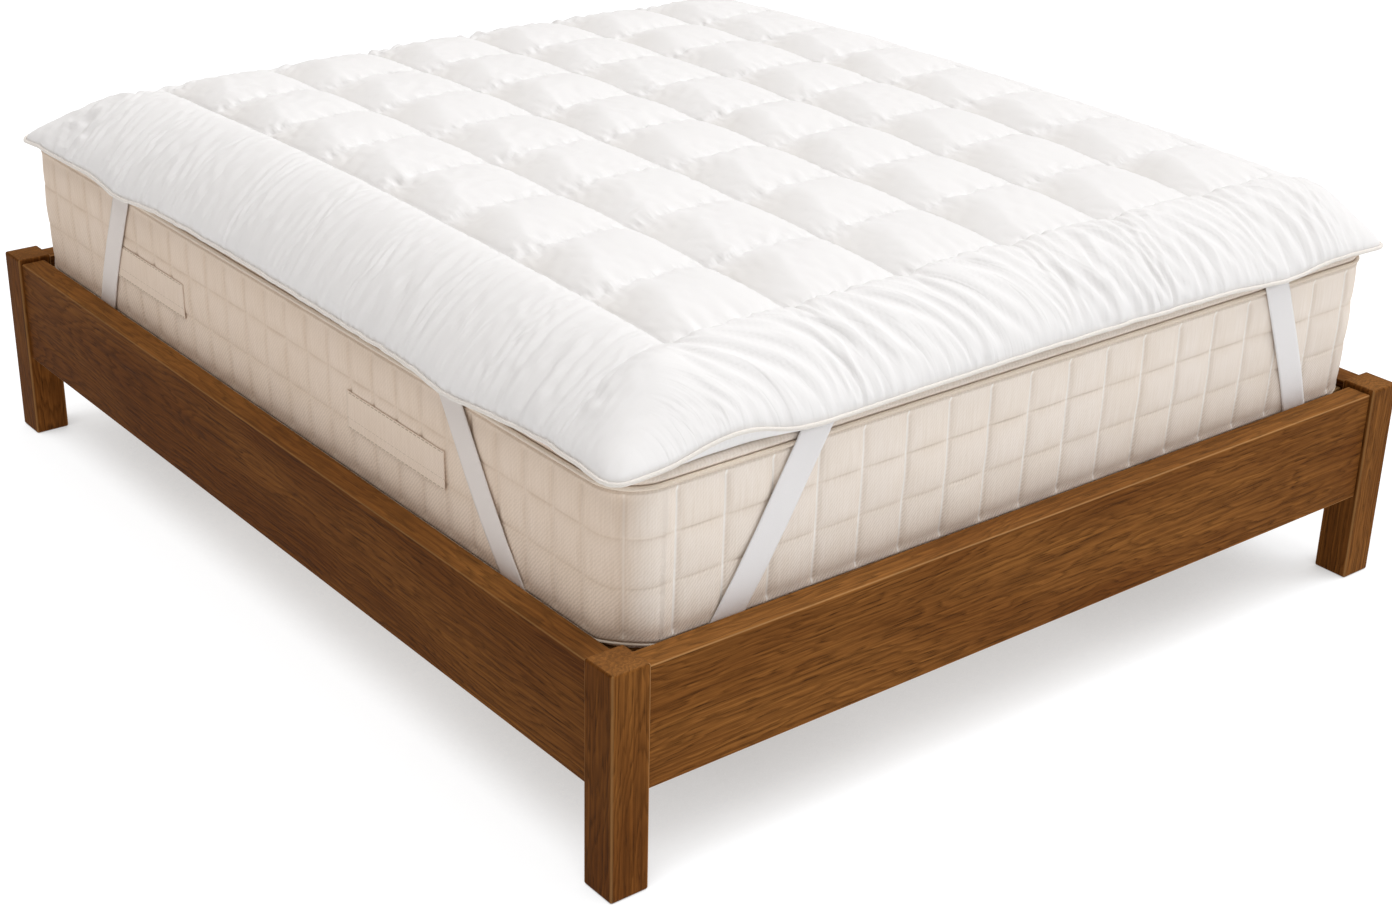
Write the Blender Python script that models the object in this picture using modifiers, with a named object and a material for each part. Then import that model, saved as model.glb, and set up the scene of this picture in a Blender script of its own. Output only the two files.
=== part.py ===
"""A box-quilted mattress topper on a mattress and a wooden bed frame.

The topper is one filled solid: a knife edge with piping round it, a plain border
that rises from the edge like a pillow, and a field of puffed boxes between sewn
channels.  Four elastic bands hold it on the mattress, one under each corner.
The bed stands along Y: its foot is at -Y, its head at +Y, and the floor is z = 0.
"""
import math

import bmesh
import bpy

# ---------------------------------------------------------------- bed frame
BED_WIDTH = 1.70
BED_LENGTH = 2.00
POST_SIDE = 0.066
POST_HEIGHT = 0.366
POST_BEVEL = 0.004
RAIL_TOP = 0.358
RAIL_BOTTOM = 0.162
RAIL_THICKNESS = 0.046
RAIL_SETBACK = 0.006
RAIL_BEVEL = 0.0025
SLAT_COUNT = 12
SLAT_WIDTH = 0.090
SLAT_THICKNESS = 0.018
SLAT_BEVEL = 0.0015
SLAT_SPAN = 1.592
FIRST_SLAT_Y = 0.880
LEDGER_SIDE = 0.030
BEAM_WIDTH = 0.045
BEAM_HEIGHT = 0.070
JOINT_GAP = 0.0003

# ---------------------------------------------------------------- mattress
MATTRESS_WIDTH = 1.60
MATTRESS_LENGTH = 1.90
MATTRESS_BOTTOM = 0.345
MATTRESS_TOP = 0.610
MATTRESS_CORNER = 0.070
CORNER_STEPS = 6
# height above the floor and how far the side lies inside the full size, from the
# underside up: bottom edge, tape groove, bulging side, piping groove, top roll
MATTRESS_PROFILE = (
    (MATTRESS_BOTTOM, 0.0350),
    (0.3480, 0.0240),
    (0.3535, 0.0170),
    (0.3605, 0.0165),
    (0.3640, 0.0125),
    (0.3800, 0.0090),
    (0.4200, 0.0040),
    (0.4800, 0.0000),
    (0.5600, 0.0000),
    (0.5880, 0.0010),
    (0.5910, 0.0060),
    (0.5990, 0.0060),
    (0.6020, 0.0025),
    (0.6070, 0.0070),
    (MATTRESS_TOP, 0.0180),
)
# node, height, how far the cord's centre lies inside the full size, radius
MATTRESS_CORDS = (
    ("mattress_piping_top", 0.5950, 0.0020, 0.0035),
    ("mattress_piping_bottom", 0.3570, 0.0132, 0.0030),
)
HANDLE_THICKNESS = 0.0012
# node, side of the bed, low and high end along Y
HANDLES = (
    ("handle_left_foot", -1, -0.515, -0.235),
    ("handle_left_head", -1, 0.320, 0.595),
    ("handle_right_foot", 1, -0.515, -0.235),
    ("handle_right_head", 1, 0.235, 0.515),
)
# height and how far the handle's middle lies inside the mattress's full size
HANDLE_PROFILE = (
    (0.4330, 0.0022),
    (0.4800, -0.0009),
    (0.4980, -0.0009),
)

# ---------------------------------------------------------------- topper
EDGE_LEFT = -0.811
EDGE_RIGHT = 0.825
EDGE_FOOT = -0.950
EDGE_HEAD = 0.950
EDGE_HEIGHT = 0.617
EDGE_THICKNESS = 0.003
BORDER_LEFT = 0.195
BORDER_FOOT = 0.142
BOX_COLUMNS = 6
BOX_ROWS = 8
BOX_WIDTH = 0.2195
BOX_LENGTH = 0.190
SEAM_HEIGHT = 0.734
# how far the sewn channels fall towards each side, and the power of the fall
SEAM_FALLS = {
    "left": (0.006, 2),
    "right": (0.014, 2),
    "foot": (0.025, 3),
    "head": (0.036, 2),
}
BOX_PUFF = 0.020
# power of each border's rise from its edge, and the height of its own roll
BORDER_SHAPES = {
    "left": (0.72, 0.010),
    "right": (0.75, 0.003),
    "foot": (0.72, 0.017),
    "head": (0.82, 0.000),
}
ROLL_LEAN = 1.6
EDGE_FADE_POWER = 2
TIP_RADIUS = 0.030
UNDERSIDE = MATTRESS_TOP + JOINT_GAP
UNDERSIDE_RUN = 0.014
PIPING_RADIUS = 0.0032
# fractions of the border's width and of a box, from the edge or seam inwards
BORDER_STATIONS = (0.0, 0.05, 0.14, 0.30, 0.50, 0.70, 0.88)
BOX_STATIONS = (0.0, 0.08, 0.26, 0.50, 0.74, 0.92)
# where bands pull the edge and where it stands slack between them:
# side, place along it, outward, upward, half-length of the bump
EDGE_BUMPS = (
    ("foot", -0.610, -0.004, 0.022, 0.085),
    ("foot", -0.470, 0.006, 0.001, 0.070),
    ("foot", 0.020, 0.000, 0.005, 0.300),
    ("foot", 0.545, 0.007, -0.006, 0.090),
    ("left", -0.800, 0.001, 0.007, 0.090),
    ("left", -0.555, 0.007, -0.006, 0.080),
    ("left", 0.080, -0.004, 0.001, 0.300),
    ("left", 0.515, 0.007, -0.010, 0.090),
    ("left", 0.820, 0.000, -0.009, 0.160),
    ("right", -0.530, 0.005, -0.006, 0.080),
    ("right", 0.040, -0.004, 0.003, 0.260),
    ("right", 0.530, 0.005, -0.006, 0.080),
    ("head", -0.520, 0.006, -0.006, 0.080),
    ("head", 0.010, 0.001, 0.004, 0.260),
    ("head", 0.520, 0.006, -0.006, 0.080),
)
# side in X, side in Y, outward in X, outward in Y, upward, of the four tips
TIP_BUMPS = (
    (-1, -1, 0.001, -0.004, -0.003),
    (1, -1, 0.008, -0.004, -0.007),
    (-1, 1, 0.001, -0.003, -0.008),
    (1, 1, 0.008, 0.001, -0.012),
)
TIP_REACH = 0.060

# ---------------------------------------------------------------- bands
BAND_WIDTH = 0.054
BAND_THICKNESS = 0.0015
BAND_TOP_GAP = 0.0006
# height and how far the band's middle lies inside the mattress's full size
BAND_PROFILE = (
    (0.5700, -0.0028),
    (0.4800, -0.0028),
    (0.4200, 0.0012),
    (0.3850, 0.0055),
    (0.3620, 0.0084),
    (0.3540, 0.0095),
    (0.3485, 0.0135),
    (0.3461, 0.0220),
    (0.3461, 0.0300),
)
BAND_TOP_INSET = BAND_PROFILE[0][1]
GROOVE_TOP = 0.3475
GROOVE_DEPTH = 0.0125
GROOVE_MARGIN = 0.003
GROOVE_REACH = 0.012
# node, side in X and Y, then the middle of the band as a distance from the bed's
# axes: top and bottom of its leg on the end, top and bottom of its leg on the side
BANDS = (
    ("band_foot_left", -1, -1, 0.466, 0.618, 0.530, 0.693),
    ("band_foot_right", 1, -1, 0.530, 0.638, 0.530, 0.638),
    ("band_head_left", -1, 1, 0.520, 0.630, 0.530, 0.655),
    ("band_head_right", 1, 1, 0.520, 0.630, 0.530, 0.640),
)

COTTON_WHITE = (0.90, 0.89, 0.88, 1.0)
ELASTIC_WHITE = (0.72, 0.71, 0.74, 1.0)
TICKING_CREAM = (0.76, 0.66, 0.56, 1.0)
OAK_BROWN = (0.15, 0.066, 0.027, 1.0)
PINE_PALE = (0.55, 0.38, 0.20, 1.0)


# ---------------------------------------------------------------- scene helpers
def clear_scene():
    """Remove every object of the scene."""
    for old in list(bpy.data.objects):
        bpy.data.objects.remove(old, do_unlink=True)


def make_collection(name):
    """Return a new collection linked to the scene."""
    collection = bpy.data.collections.new(name)
    bpy.context.scene.collection.children.link(collection)
    return collection


def make_material(name, colour, roughness):
    """Return a Principled material of one colour."""
    material = bpy.data.materials.new(name)
    material.use_nodes = True
    shader = material.node_tree.nodes["Principled BSDF"]
    shader.inputs["Base Color"].default_value = colour
    shader.inputs["Roughness"].default_value = roughness
    shader.inputs["Metallic"].default_value = 0.0
    return material


def add_object(name, bm, collection, material):
    """Turn a bmesh into an object of the collection."""
    mesh = bpy.data.meshes.new(name)
    bm.to_mesh(mesh)
    bm.free()
    thing = bpy.data.objects.new(name, mesh)
    collection.objects.link(thing)
    if material is not None:
        mesh.materials.append(material)
    return thing


def add_box(name, low, high, bevel, collection, material):
    """A box between two corners, with its edges eased by a bevel."""
    bm = bmesh.new()
    bmesh.ops.create_cube(bm, size=1.0)
    size = [b - a for a, b in zip(low, high)]
    bmesh.ops.scale(bm, vec=size, verts=bm.verts)
    thing = add_object(name, bm, collection, material)
    thing.location = [(a + b) / 2 for a, b in zip(low, high)]
    if bevel:
        ease = thing.modifiers.new("eased edges", "BEVEL")
        ease.width = bevel
        ease.segments = 2
        ease.limit_method = "ANGLE"
    return thing


def add_cord(name, points, radius, collection, material):
    """A closed cord: a curve through the points with a round section."""
    curve = bpy.data.curves.new(name, "CURVE")
    curve.dimensions = "3D"
    curve.bevel_depth = radius
    curve.bevel_resolution = 1
    spline = curve.splines.new("POLY")
    spline.points.add(len(points) - 1)
    for spot, point in zip(spline.points, points):
        spot.co = (*point, 1.0)
    spline.use_cyclic_u = True
    curve.materials.append(material)
    cord = bpy.data.objects.new(name, curve)
    collection.objects.link(cord)
    return cord


def add_strip(name, rows, thickness, collection, material):
    """A strip of cloth: rows of its two edge points, given thickness by Solidify."""
    bm = bmesh.new()
    lines = [[bm.verts.new(point) for point in row] for row in rows]
    for above, below in zip(lines, lines[1:]):
        bm.faces.new((above[0], above[1], below[1], below[0]))
    strip = add_object(name, bm, collection, material)
    thick = strip.modifiers.new("cloth thickness", "SOLIDIFY")
    thick.thickness = thickness
    thick.offset = 0.0
    thick.use_even_offset = True
    return strip


# ---------------------------------------------------------------- bed frame
def side_name(sign, low, high):
    """The word for the low or the high side of an axis."""
    return low if sign < 0 else high


def mirrored(low, high, sign, axis):
    """The box between two corners, on the given side of an axis."""
    low, high = list(low), list(high)
    if sign < 0:
        low[axis], high[axis] = -high[axis], -low[axis]
    return low, high


def build_posts(collection, oak):
    """Four square posts, one at each corner, that stand on the floor."""
    outer = (BED_WIDTH / 2, BED_LENGTH / 2)
    inner = (outer[0] - POST_SIDE, outer[1] - POST_SIDE)
    for x_sign in (-1, 1):
        for y_sign in (-1, 1):
            low, high = mirrored((*inner, 0.0), (*outer, POST_HEIGHT), x_sign, 0)
            low, high = mirrored(low, high, y_sign, 1)
            place = side_name(y_sign, "foot", "head") + "_" + side_name(x_sign, "left", "right")
            add_box("post_" + place, low, high, POST_BEVEL, collection, oak)


def build_rails(collection, oak):
    """Two side rails and two end rails, set back a little from the posts' faces."""
    span_x = BED_WIDTH / 2 - POST_SIDE - JOINT_GAP
    span_y = BED_LENGTH / 2 - POST_SIDE - JOINT_GAP
    out_x = BED_WIDTH / 2 - RAIL_SETBACK
    out_y = BED_LENGTH / 2 - RAIL_SETBACK
    for sign in (-1, 1):
        low = (out_x - RAIL_THICKNESS, -span_y, RAIL_BOTTOM)
        low, high = mirrored(low, (out_x, span_y, RAIL_TOP), sign, 0)
        name = "rail_" + side_name(sign, "left", "right")
        add_box(name, low, high, RAIL_BEVEL, collection, oak)
        low = (-span_x, out_y - RAIL_THICKNESS, RAIL_BOTTOM)
        low, high = mirrored(low, (span_x, out_y, RAIL_TOP), sign, 1)
        name = "rail_" + side_name(sign, "foot", "head")
        add_box(name, low, high, RAIL_BEVEL, collection, oak)


def build_base(collection, pine):
    """Slats across the bed, on a ledger along each side rail and a centre beam."""
    slat_top = MATTRESS_BOTTOM - JOINT_GAP
    slat_low = slat_top - SLAT_THICKNESS
    pitch = 2 * FIRST_SLAT_Y / (SLAT_COUNT - 1)
    for index in range(SLAT_COUNT):
        middle = -FIRST_SLAT_Y + pitch * index
        low = (-SLAT_SPAN / 2, middle - SLAT_WIDTH / 2, slat_low)
        high = (SLAT_SPAN / 2, middle + SLAT_WIDTH / 2, slat_top)
        add_box(f"slat_{index + 1:02d}", low, high, SLAT_BEVEL, collection, pine)
    carried = slat_low - JOINT_GAP
    rail_inner = BED_WIDTH / 2 - RAIL_SETBACK - RAIL_THICKNESS - JOINT_GAP
    ledger_end = BED_LENGTH / 2 - POST_SIDE - JOINT_GAP
    for sign in (-1, 1):
        low = (rail_inner - LEDGER_SIDE, -ledger_end, carried - LEDGER_SIDE)
        low, high = mirrored(low, (rail_inner, ledger_end, carried), sign, 0)
        name = "ledger_" + side_name(sign, "left", "right")
        add_box(name, low, high, 0.0, collection, pine)
    beam_end = BED_LENGTH / 2 - RAIL_SETBACK - RAIL_THICKNESS - JOINT_GAP
    low = (-BEAM_WIDTH / 2, -beam_end, carried - BEAM_HEIGHT)
    high = (BEAM_WIDTH / 2, beam_end, carried)
    add_box("centre_beam", low, high, 0.0, collection, pine)


# ---------------------------------------------------------------- mattress
def rounded_ring(inset, height):
    """A ring round the mattress: its full outline, moved in by the inset."""
    radius = MATTRESS_CORNER - inset
    centre_x = MATTRESS_WIDTH / 2 - MATTRESS_CORNER
    centre_y = MATTRESS_LENGTH / 2 - MATTRESS_CORNER
    ring = []
    for quarter, (x_sign, y_sign) in enumerate(((1, 1), (-1, 1), (-1, -1), (1, -1))):
        for step in range(CORNER_STEPS + 1):
            angle = math.pi / 2 * (quarter + step / CORNER_STEPS)
            x = x_sign * centre_x + radius * math.cos(angle)
            y = y_sign * centre_y + radius * math.sin(angle)
            ring.append((x, y, height))
    return ring


def build_mattress(collection, ticking):
    """The mattress: rings of its profile, one above another, closed at both ends."""
    bm = bmesh.new()
    rings = []
    for height, inset in MATTRESS_PROFILE:
        rings.append([bm.verts.new(point) for point in rounded_ring(inset, height)])
    count = len(rings[0])
    for lower, upper in zip(rings, rings[1:]):
        for index in range(count):
            after = (index + 1) % count
            bm.faces.new((lower[index], lower[after], upper[after], upper[index]))
    bm.faces.new(list(reversed(rings[0])))
    bm.faces.new(rings[-1])
    mattress = add_object("mattress", bm, collection, ticking)
    for name, height, inset, radius in MATTRESS_CORDS:
        add_cord(name, rounded_ring(inset, height), radius, collection, ticking)
    return mattress


def build_handles(collection, ticking):
    """Flat webbing handles sewn along both long sides of the mattress."""
    for name, sign, low, high in HANDLES:
        rows = []
        for height, inset in HANDLE_PROFILE:
            x = sign * (MATTRESS_WIDTH / 2 - inset)
            rows.append(((x, low, height), (x, high, height)))
        add_strip(name, rows, HANDLE_THICKNESS, collection, ticking)


# ---------------------------------------------------------------- topper
def bump(distance, reach):
    """A smooth bump: 1 at its middle, fading out over its reach."""
    return math.exp(-((distance / reach) ** 2))


def edge_shift(side, along):
    """How far the topper's edge lies outward and upward at a place on a side."""
    outward, upward = 0.0, 0.0
    for name, middle, out, up, reach in EDGE_BUMPS:
        if name == side:
            weight = bump(along - middle, reach)
            outward += out * weight
            upward += up * weight
    return outward, upward


def tip_shift(x, y):
    """How far the nearest tip of the topper draws a point in X, Y and Z."""
    shift = [0.0, 0.0, 0.0]
    for x_sign, y_sign, out_x, out_y, up in TIP_BUMPS:
        edge_x = EDGE_RIGHT if x_sign > 0 else EDGE_LEFT
        edge_y = EDGE_HEAD if y_sign > 0 else EDGE_FOOT
        weight = bump(math.hypot(x - edge_x, y - edge_y), TIP_REACH)
        shift[0] += x_sign * out_x * weight
        shift[1] += y_sign * out_y * weight
        shift[2] += up * weight
    return shift


def edge_point(x, y):
    """The place of the topper's edge next to a point on its straight outline."""
    shift = tip_shift(x, y)
    sides = (("left", x == EDGE_LEFT, 0, -1), ("right", x == EDGE_RIGHT, 0, 1))
    sides += (("foot", y == EDGE_FOOT, 1, -1), ("head", y == EDGE_HEAD, 1, 1))
    for side, touches, axis, sign in sides:
        if touches:
            outward, upward = edge_shift(side, y if axis == 0 else x)
            shift[axis] += sign * outward
            shift[2] += upward
    return x + shift[0], y + shift[1], EDGE_HEIGHT + shift[2]


def puff(fraction):
    """Roundness between two seams: 0 at each of them, 1 in the middle."""
    return math.sqrt(max(0.0, 4 * fraction * (1 - fraction)))


def border_stations(side, edge, width):
    """Grid places over a border: place, fraction, box fraction, rise and roll."""
    power, height = BORDER_SHAPES[side]
    places = []
    for fraction in BORDER_STATIONS:
        risen = math.sin(math.pi / 2 * fraction) ** power
        rolled = height * puff(fraction ** ROLL_LEAN)
        places.append((edge + fraction * width, fraction, 0.0, risen, rolled))
    return places


def stations(sides, edge_low, border_low, count, size, edge_high):
    """Grid places along one axis: its low border, its boxes, its high border."""
    seam_low = edge_low + border_low
    seam_high = seam_low + count * size
    boxes = []
    for index in range(count):
        boxes += [(seam_low + (index + f) * size, 1.0, f, 1.0, 0.0) for f in BOX_STATIONS]
    low = border_stations(sides[0], edge_low, border_low)
    high = border_stations(sides[1], edge_high, seam_high - edge_high)
    return low + boxes + [(seam_high, 1.0, 0.0, 1.0, 0.0)] + high[::-1]


def softer_least(one, other):
    """About the lesser of two rises from 0 to 1, without a crease where they meet."""
    if min(one, other) <= 0.0:
        return 0.0
    return 1 / math.sqrt(one ** -2 + other ** -2 - 1)


def seam_height(x, y):
    """The height of the sewn channels: a low dome over the quilted field."""
    across = (2 * x - EDGE_LEFT - EDGE_RIGHT) / (EDGE_RIGHT - EDGE_LEFT)
    along = (2 * y - EDGE_FOOT - EDGE_HEAD) / (EDGE_HEAD - EDGE_FOOT)
    height = SEAM_HEIGHT
    for share, low, high in ((across, "left", "right"), (along, "foot", "head")):
        fall, power = SEAM_FALLS[low if share < 0 else high]
        height -= fall * abs(share) ** power
    return height


def rounded_tip(x, y):
    """Draw a point near a square corner of the outline onto a rounded corner."""
    in_x = min(x - EDGE_LEFT, EDGE_RIGHT - x)
    in_y = min(y - EDGE_FOOT, EDGE_HEAD - y)
    if max(in_x, in_y) >= TIP_RADIUS:
        return x, y
    near, far = min(in_x, in_y), max(in_x, in_y)
    turn = math.pi / 4 * (TIP_RADIUS - far) / (TIP_RADIUS - near)
    deep = TIP_RADIUS - (TIP_RADIUS - near) * math.cos(turn)
    wide = TIP_RADIUS - (TIP_RADIUS - near) * math.sin(turn)
    new_x, new_y = (deep, wide) if in_x <= in_y else (wide, deep)
    x_sign = -1 if x - EDGE_LEFT < EDGE_RIGHT - x else 1
    y_sign = -1 if y - EDGE_FOOT < EDGE_HEAD - y else 1
    return x + x_sign * (in_x - new_x), y + y_sign * (in_y - new_y)


def topper_point(across, along):
    """A point of the topper's upper face, from one station on each axis."""
    x, border_x, box_x, rise_x, roll_x = across
    y, border_y, box_y, rise_y, roll_y = along
    near_x = EDGE_LEFT if x < 0 else EDGE_RIGHT
    near_y = EDGE_FOOT if y < 0 else EDGE_HEAD
    edge_x = edge_point(near_x, y)
    edge_y = edge_point(x, near_y)
    fade_x = (1 - border_x) ** EDGE_FADE_POWER
    fade_y = (1 - border_y) ** EDGE_FADE_POWER
    corner = edge_point(near_x, near_y)
    both = fade_x * fade_y
    move_x = fade_x * (edge_x[0] - near_x) + fade_y * (edge_y[0] - x) - both * (corner[0] - near_x)
    move_y = fade_y * (edge_y[1] - near_y) + fade_x * (edge_x[1] - y) - both * (corner[1] - near_y)
    low = fade_x * edge_x[2] + fade_y * edge_y[2] - both * corner[2]
    low += (1 - fade_x - fade_y + both) * EDGE_HEIGHT
    risen = softer_least(rise_x, rise_y)
    bulge = BOX_PUFF * puff(box_x) * puff(box_y) + roll_x * rise_y + roll_y * rise_x
    height = low + (seam_height(x, y) - EDGE_HEIGHT) * risen + bulge
    x, y = rounded_tip(x, y)
    return x + move_x, y + move_y, height


def outline_walk(columns, rows):
    """Grid places along the topper's outline, anticlockwise seen from above."""
    walk = [(column, 0) for column in range(columns - 1)]
    walk += [(columns - 1, row) for row in range(rows - 1)]
    walk += [(column, rows - 1) for column in range(columns - 1, 0, -1)]
    walk += [(0, row) for row in range(rows - 1, 0, -1)]
    return walk


def moved_out(path, distance):
    """The closed path's points, moved outward in plan by the distance."""
    moved = []
    for index, (x, y, z) in enumerate(path):
        before = path[index - 1]
        after = path[(index + 1) % len(path)]
        along_x, along_y = after[0] - before[0], after[1] - before[1]
        length = math.hypot(along_x, along_y)
        moved.append((x + distance * along_y / length, y - distance * along_x / length, z))
    return moved


def build_topper(collection, cotton):
    """The filled topper: quilted upper face, thin edge, flat underside; and its piping."""
    ends = ("left", "right")
    across = stations(ends, EDGE_LEFT, BORDER_LEFT, BOX_COLUMNS, BOX_WIDTH, EDGE_RIGHT)
    ends = ("foot", "head")
    along = stations(ends, EDGE_FOOT, BORDER_FOOT, BOX_ROWS, BOX_LENGTH, EDGE_HEAD)
    bm = bmesh.new()
    grid = [[bm.verts.new(topper_point(a, b)) for b in along] for a in across]
    for left, right in zip(grid, grid[1:]):
        for row in range(len(along) - 1):
            bm.faces.new((left[row], right[row], right[row + 1], left[row + 1]))
    walk = outline_walk(len(across), len(along))
    rim = [grid[column][row] for column, row in walk]
    path = [tuple(vertex.co) for vertex in rim]
    lower = [bm.verts.new((x, y, z - EDGE_THICKNESS)) for x, y, z in path]
    inner_path = moved_out(path, -UNDERSIDE_RUN)
    inner = [bm.verts.new((x, y, UNDERSIDE)) for x, y, _ in inner_path]
    for upper_ring, lower_ring in ((rim, lower), (lower, inner)):
        for index in range(len(rim)):
            after = (index + 1) % len(rim)
            face = (upper_ring[after], upper_ring[index], lower_ring[index], lower_ring[after])
            bm.faces.new(face)
    bm.faces.new(list(reversed(inner)))
    topper = add_object("topper", bm, collection, cotton)
    topper.data.shade_smooth()
    seam = [(x, y, z - EDGE_THICKNESS / 2) for x, y, z in path]
    cord_path = moved_out(seam, PIPING_RADIUS + JOINT_GAP)
    add_cord("topper_piping", cord_path, PIPING_RADIUS, collection, cotton)
    return topper


# ---------------------------------------------------------------- bands
def underside_height(x, y):
    """The height of the topper's lower skin over a place near its edge."""
    gaps = {
        EDGE_LEFT: x - EDGE_LEFT,
        EDGE_RIGHT: EDGE_RIGHT - x,
    }
    near_x = min(gaps, key=gaps.get)
    near_y = EDGE_FOOT if y < 0 else EDGE_HEAD
    if gaps[near_x] < abs(near_y - y):
        edge = edge_point(near_x, y)
        distance = abs(edge[0] - x)
    else:
        edge = edge_point(x, near_y)
        distance = abs(edge[1] - y)
    share = max(0.0, 1 - distance / UNDERSIDE_RUN)
    return UNDERSIDE + share * (edge[2] - EDGE_THICKNESS - UNDERSIDE)


def band_leg(half_size, top, bottom, top_height):
    """Rows of one leg of a band: how far out it lies, its two edges, its height."""
    drop = MATTRESS_TOP - MATTRESS_BOTTOM
    lean = math.atan2(bottom - top, drop)
    half = BAND_WIDTH / 2 / math.cos(lean)
    rows = []
    for height, inset in ((top_height, BAND_TOP_INSET), *BAND_PROFILE):
        middle = top + (bottom - top) * (MATTRESS_TOP - height) / drop
        rows.append((half_size - inset, middle - half, middle + half, height))
    return rows


def band_rows(x_sign, y_sign, end_top, end_bottom, side_top, side_bottom):
    """Rows of a band: down the end, under the corner, and up the side."""
    end_out = MATTRESS_LENGTH / 2 - BAND_TOP_INSET
    side_out = MATTRESS_WIDTH / 2 - BAND_TOP_INSET
    end_height = underside_height(x_sign * end_top, y_sign * end_out) - BAND_TOP_GAP
    side_height = underside_height(x_sign * side_out, y_sign * side_top) - BAND_TOP_GAP
    rows = []
    for out, low, high, height in band_leg(MATTRESS_LENGTH / 2, end_top, end_bottom, end_height):
        inner = (x_sign * low, y_sign * out, height)
        outer = (x_sign * high, y_sign * out, height)
        rows.append((inner, outer))
    side_rows = []
    for out, low, high, height in band_leg(MATTRESS_WIDTH / 2, side_top, side_bottom, side_height):
        inner = (x_sign * out, y_sign * low, height)
        outer = (x_sign * out, y_sign * high, height)
        side_rows.append((inner, outer))
    return rows + side_rows[::-1]


def add_groove_cutter(name, rows, collection):
    """The space that a band presses into the mattress's underside, as a prism."""
    turn = len(rows) // 2
    start, end = rows[turn - 1], rows[turn]
    low, high = GROOVE_TOP - GROOVE_DEPTH, GROOVE_TOP
    corners = []
    for near, far in ((start, end), (end, start)):
        along = [near[0][axis] - far[0][axis] for axis in (0, 1)]
        length = math.hypot(*along)
        reach = [component / length * GROOVE_REACH for component in along]
        width = [near[1][axis] - near[0][axis] for axis in (0, 1)]
        spread = [component / math.hypot(*width) * GROOVE_MARGIN for component in width]
        inner = [near[0][axis] + reach[axis] - spread[axis] for axis in (0, 1)]
        outer = [near[1][axis] + reach[axis] + spread[axis] for axis in (0, 1)]
        corners.append((inner, outer))
    outline = [corners[0][0], corners[0][1], corners[1][1], corners[1][0]]
    bm = bmesh.new()
    base = bm.faces.new([bm.verts.new((x, y, low)) for x, y in outline])
    raised = bmesh.ops.extrude_face_region(bm, geom=[base])
    moved = [part for part in raised["geom"] if isinstance(part, bmesh.types.BMVert)]
    bmesh.ops.translate(bm, vec=(0, 0, high - low), verts=moved)
    bmesh.ops.recalc_face_normals(bm, faces=bm.faces)
    cutter = add_object(name, bm, collection, None)
    cutter.hide_render = True
    cutter.display_type = "WIRE"
    return cutter


def build_bands(collection, cutters, elastic, mattress):
    """Four elastic bands from the topper's edge, each under one mattress corner."""
    for name, *placing in BANDS:
        rows = band_rows(*placing)
        add_strip(name, rows, BAND_THICKNESS, collection, elastic)
        cut = mattress.modifiers.new("groove for " + name, "BOOLEAN")
        cut.operation = "DIFFERENCE"
        cut.object = add_groove_cutter("groove_" + name, rows, cutters)


def build():
    """Model the whole bed with its topper."""
    clear_scene()
    collection = make_collection("mattress_topper_on_bed")
    cutters = make_collection("cutters")
    oak = make_material("stained_oak", OAK_BROWN, 0.45)
    pine = make_material("plain_pine", PINE_PALE, 0.60)
    ticking = make_material("cream_ticking", TICKING_CREAM, 0.90)
    cotton = make_material("white_cotton", COTTON_WHITE, 0.85)
    elastic = make_material("white_elastic", ELASTIC_WHITE, 0.80)
    build_posts(collection, oak)
    build_rails(collection, oak)
    build_base(collection, pine)
    mattress = build_mattress(collection, ticking)
    build_handles(collection, ticking)
    build_topper(collection, cotton)
    build_bands(collection, cutters, elastic, mattress)


build()
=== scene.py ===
"""Looks for a box-quilted mattress topper that lies on its mattress and wooden bed.

The file is laid out as a Blender add-on and is run as a script.  Every soft piece
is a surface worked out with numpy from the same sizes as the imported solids, and it
replaces its solid.  The bed's posts and rails are eased boards of the solids' size,
and its pine base keeps its solids.
"""
import math

import bpy
import numpy as np
from mathutils import Matrix, Vector


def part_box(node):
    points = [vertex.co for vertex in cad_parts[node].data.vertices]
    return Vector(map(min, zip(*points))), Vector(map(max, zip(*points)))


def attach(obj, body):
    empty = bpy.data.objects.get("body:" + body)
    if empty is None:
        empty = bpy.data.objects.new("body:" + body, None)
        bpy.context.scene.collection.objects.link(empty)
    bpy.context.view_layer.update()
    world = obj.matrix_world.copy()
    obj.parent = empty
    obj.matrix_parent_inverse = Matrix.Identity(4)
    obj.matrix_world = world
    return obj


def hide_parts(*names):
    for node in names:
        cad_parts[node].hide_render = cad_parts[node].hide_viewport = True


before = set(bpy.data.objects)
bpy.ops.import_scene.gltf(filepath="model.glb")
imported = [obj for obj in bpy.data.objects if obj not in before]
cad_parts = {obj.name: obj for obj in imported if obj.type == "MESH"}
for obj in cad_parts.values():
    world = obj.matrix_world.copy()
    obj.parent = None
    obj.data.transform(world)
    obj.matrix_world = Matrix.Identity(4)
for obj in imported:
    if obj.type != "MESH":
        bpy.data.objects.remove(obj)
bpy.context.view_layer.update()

bl_info = {
    "name": "Quilted mattress topper",
    "version": (1, 0, 0),
    "blender": (4, 5, 0),
    "location": "3D View > Sidebar > Topper",
    "description": "Sews a box-quilted topper and dresses its mattress and bed",
    "category": "Object",
}

BODY = "root"
# about the mean height of folded noise
FOLD_MEAN = 0.35

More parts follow.
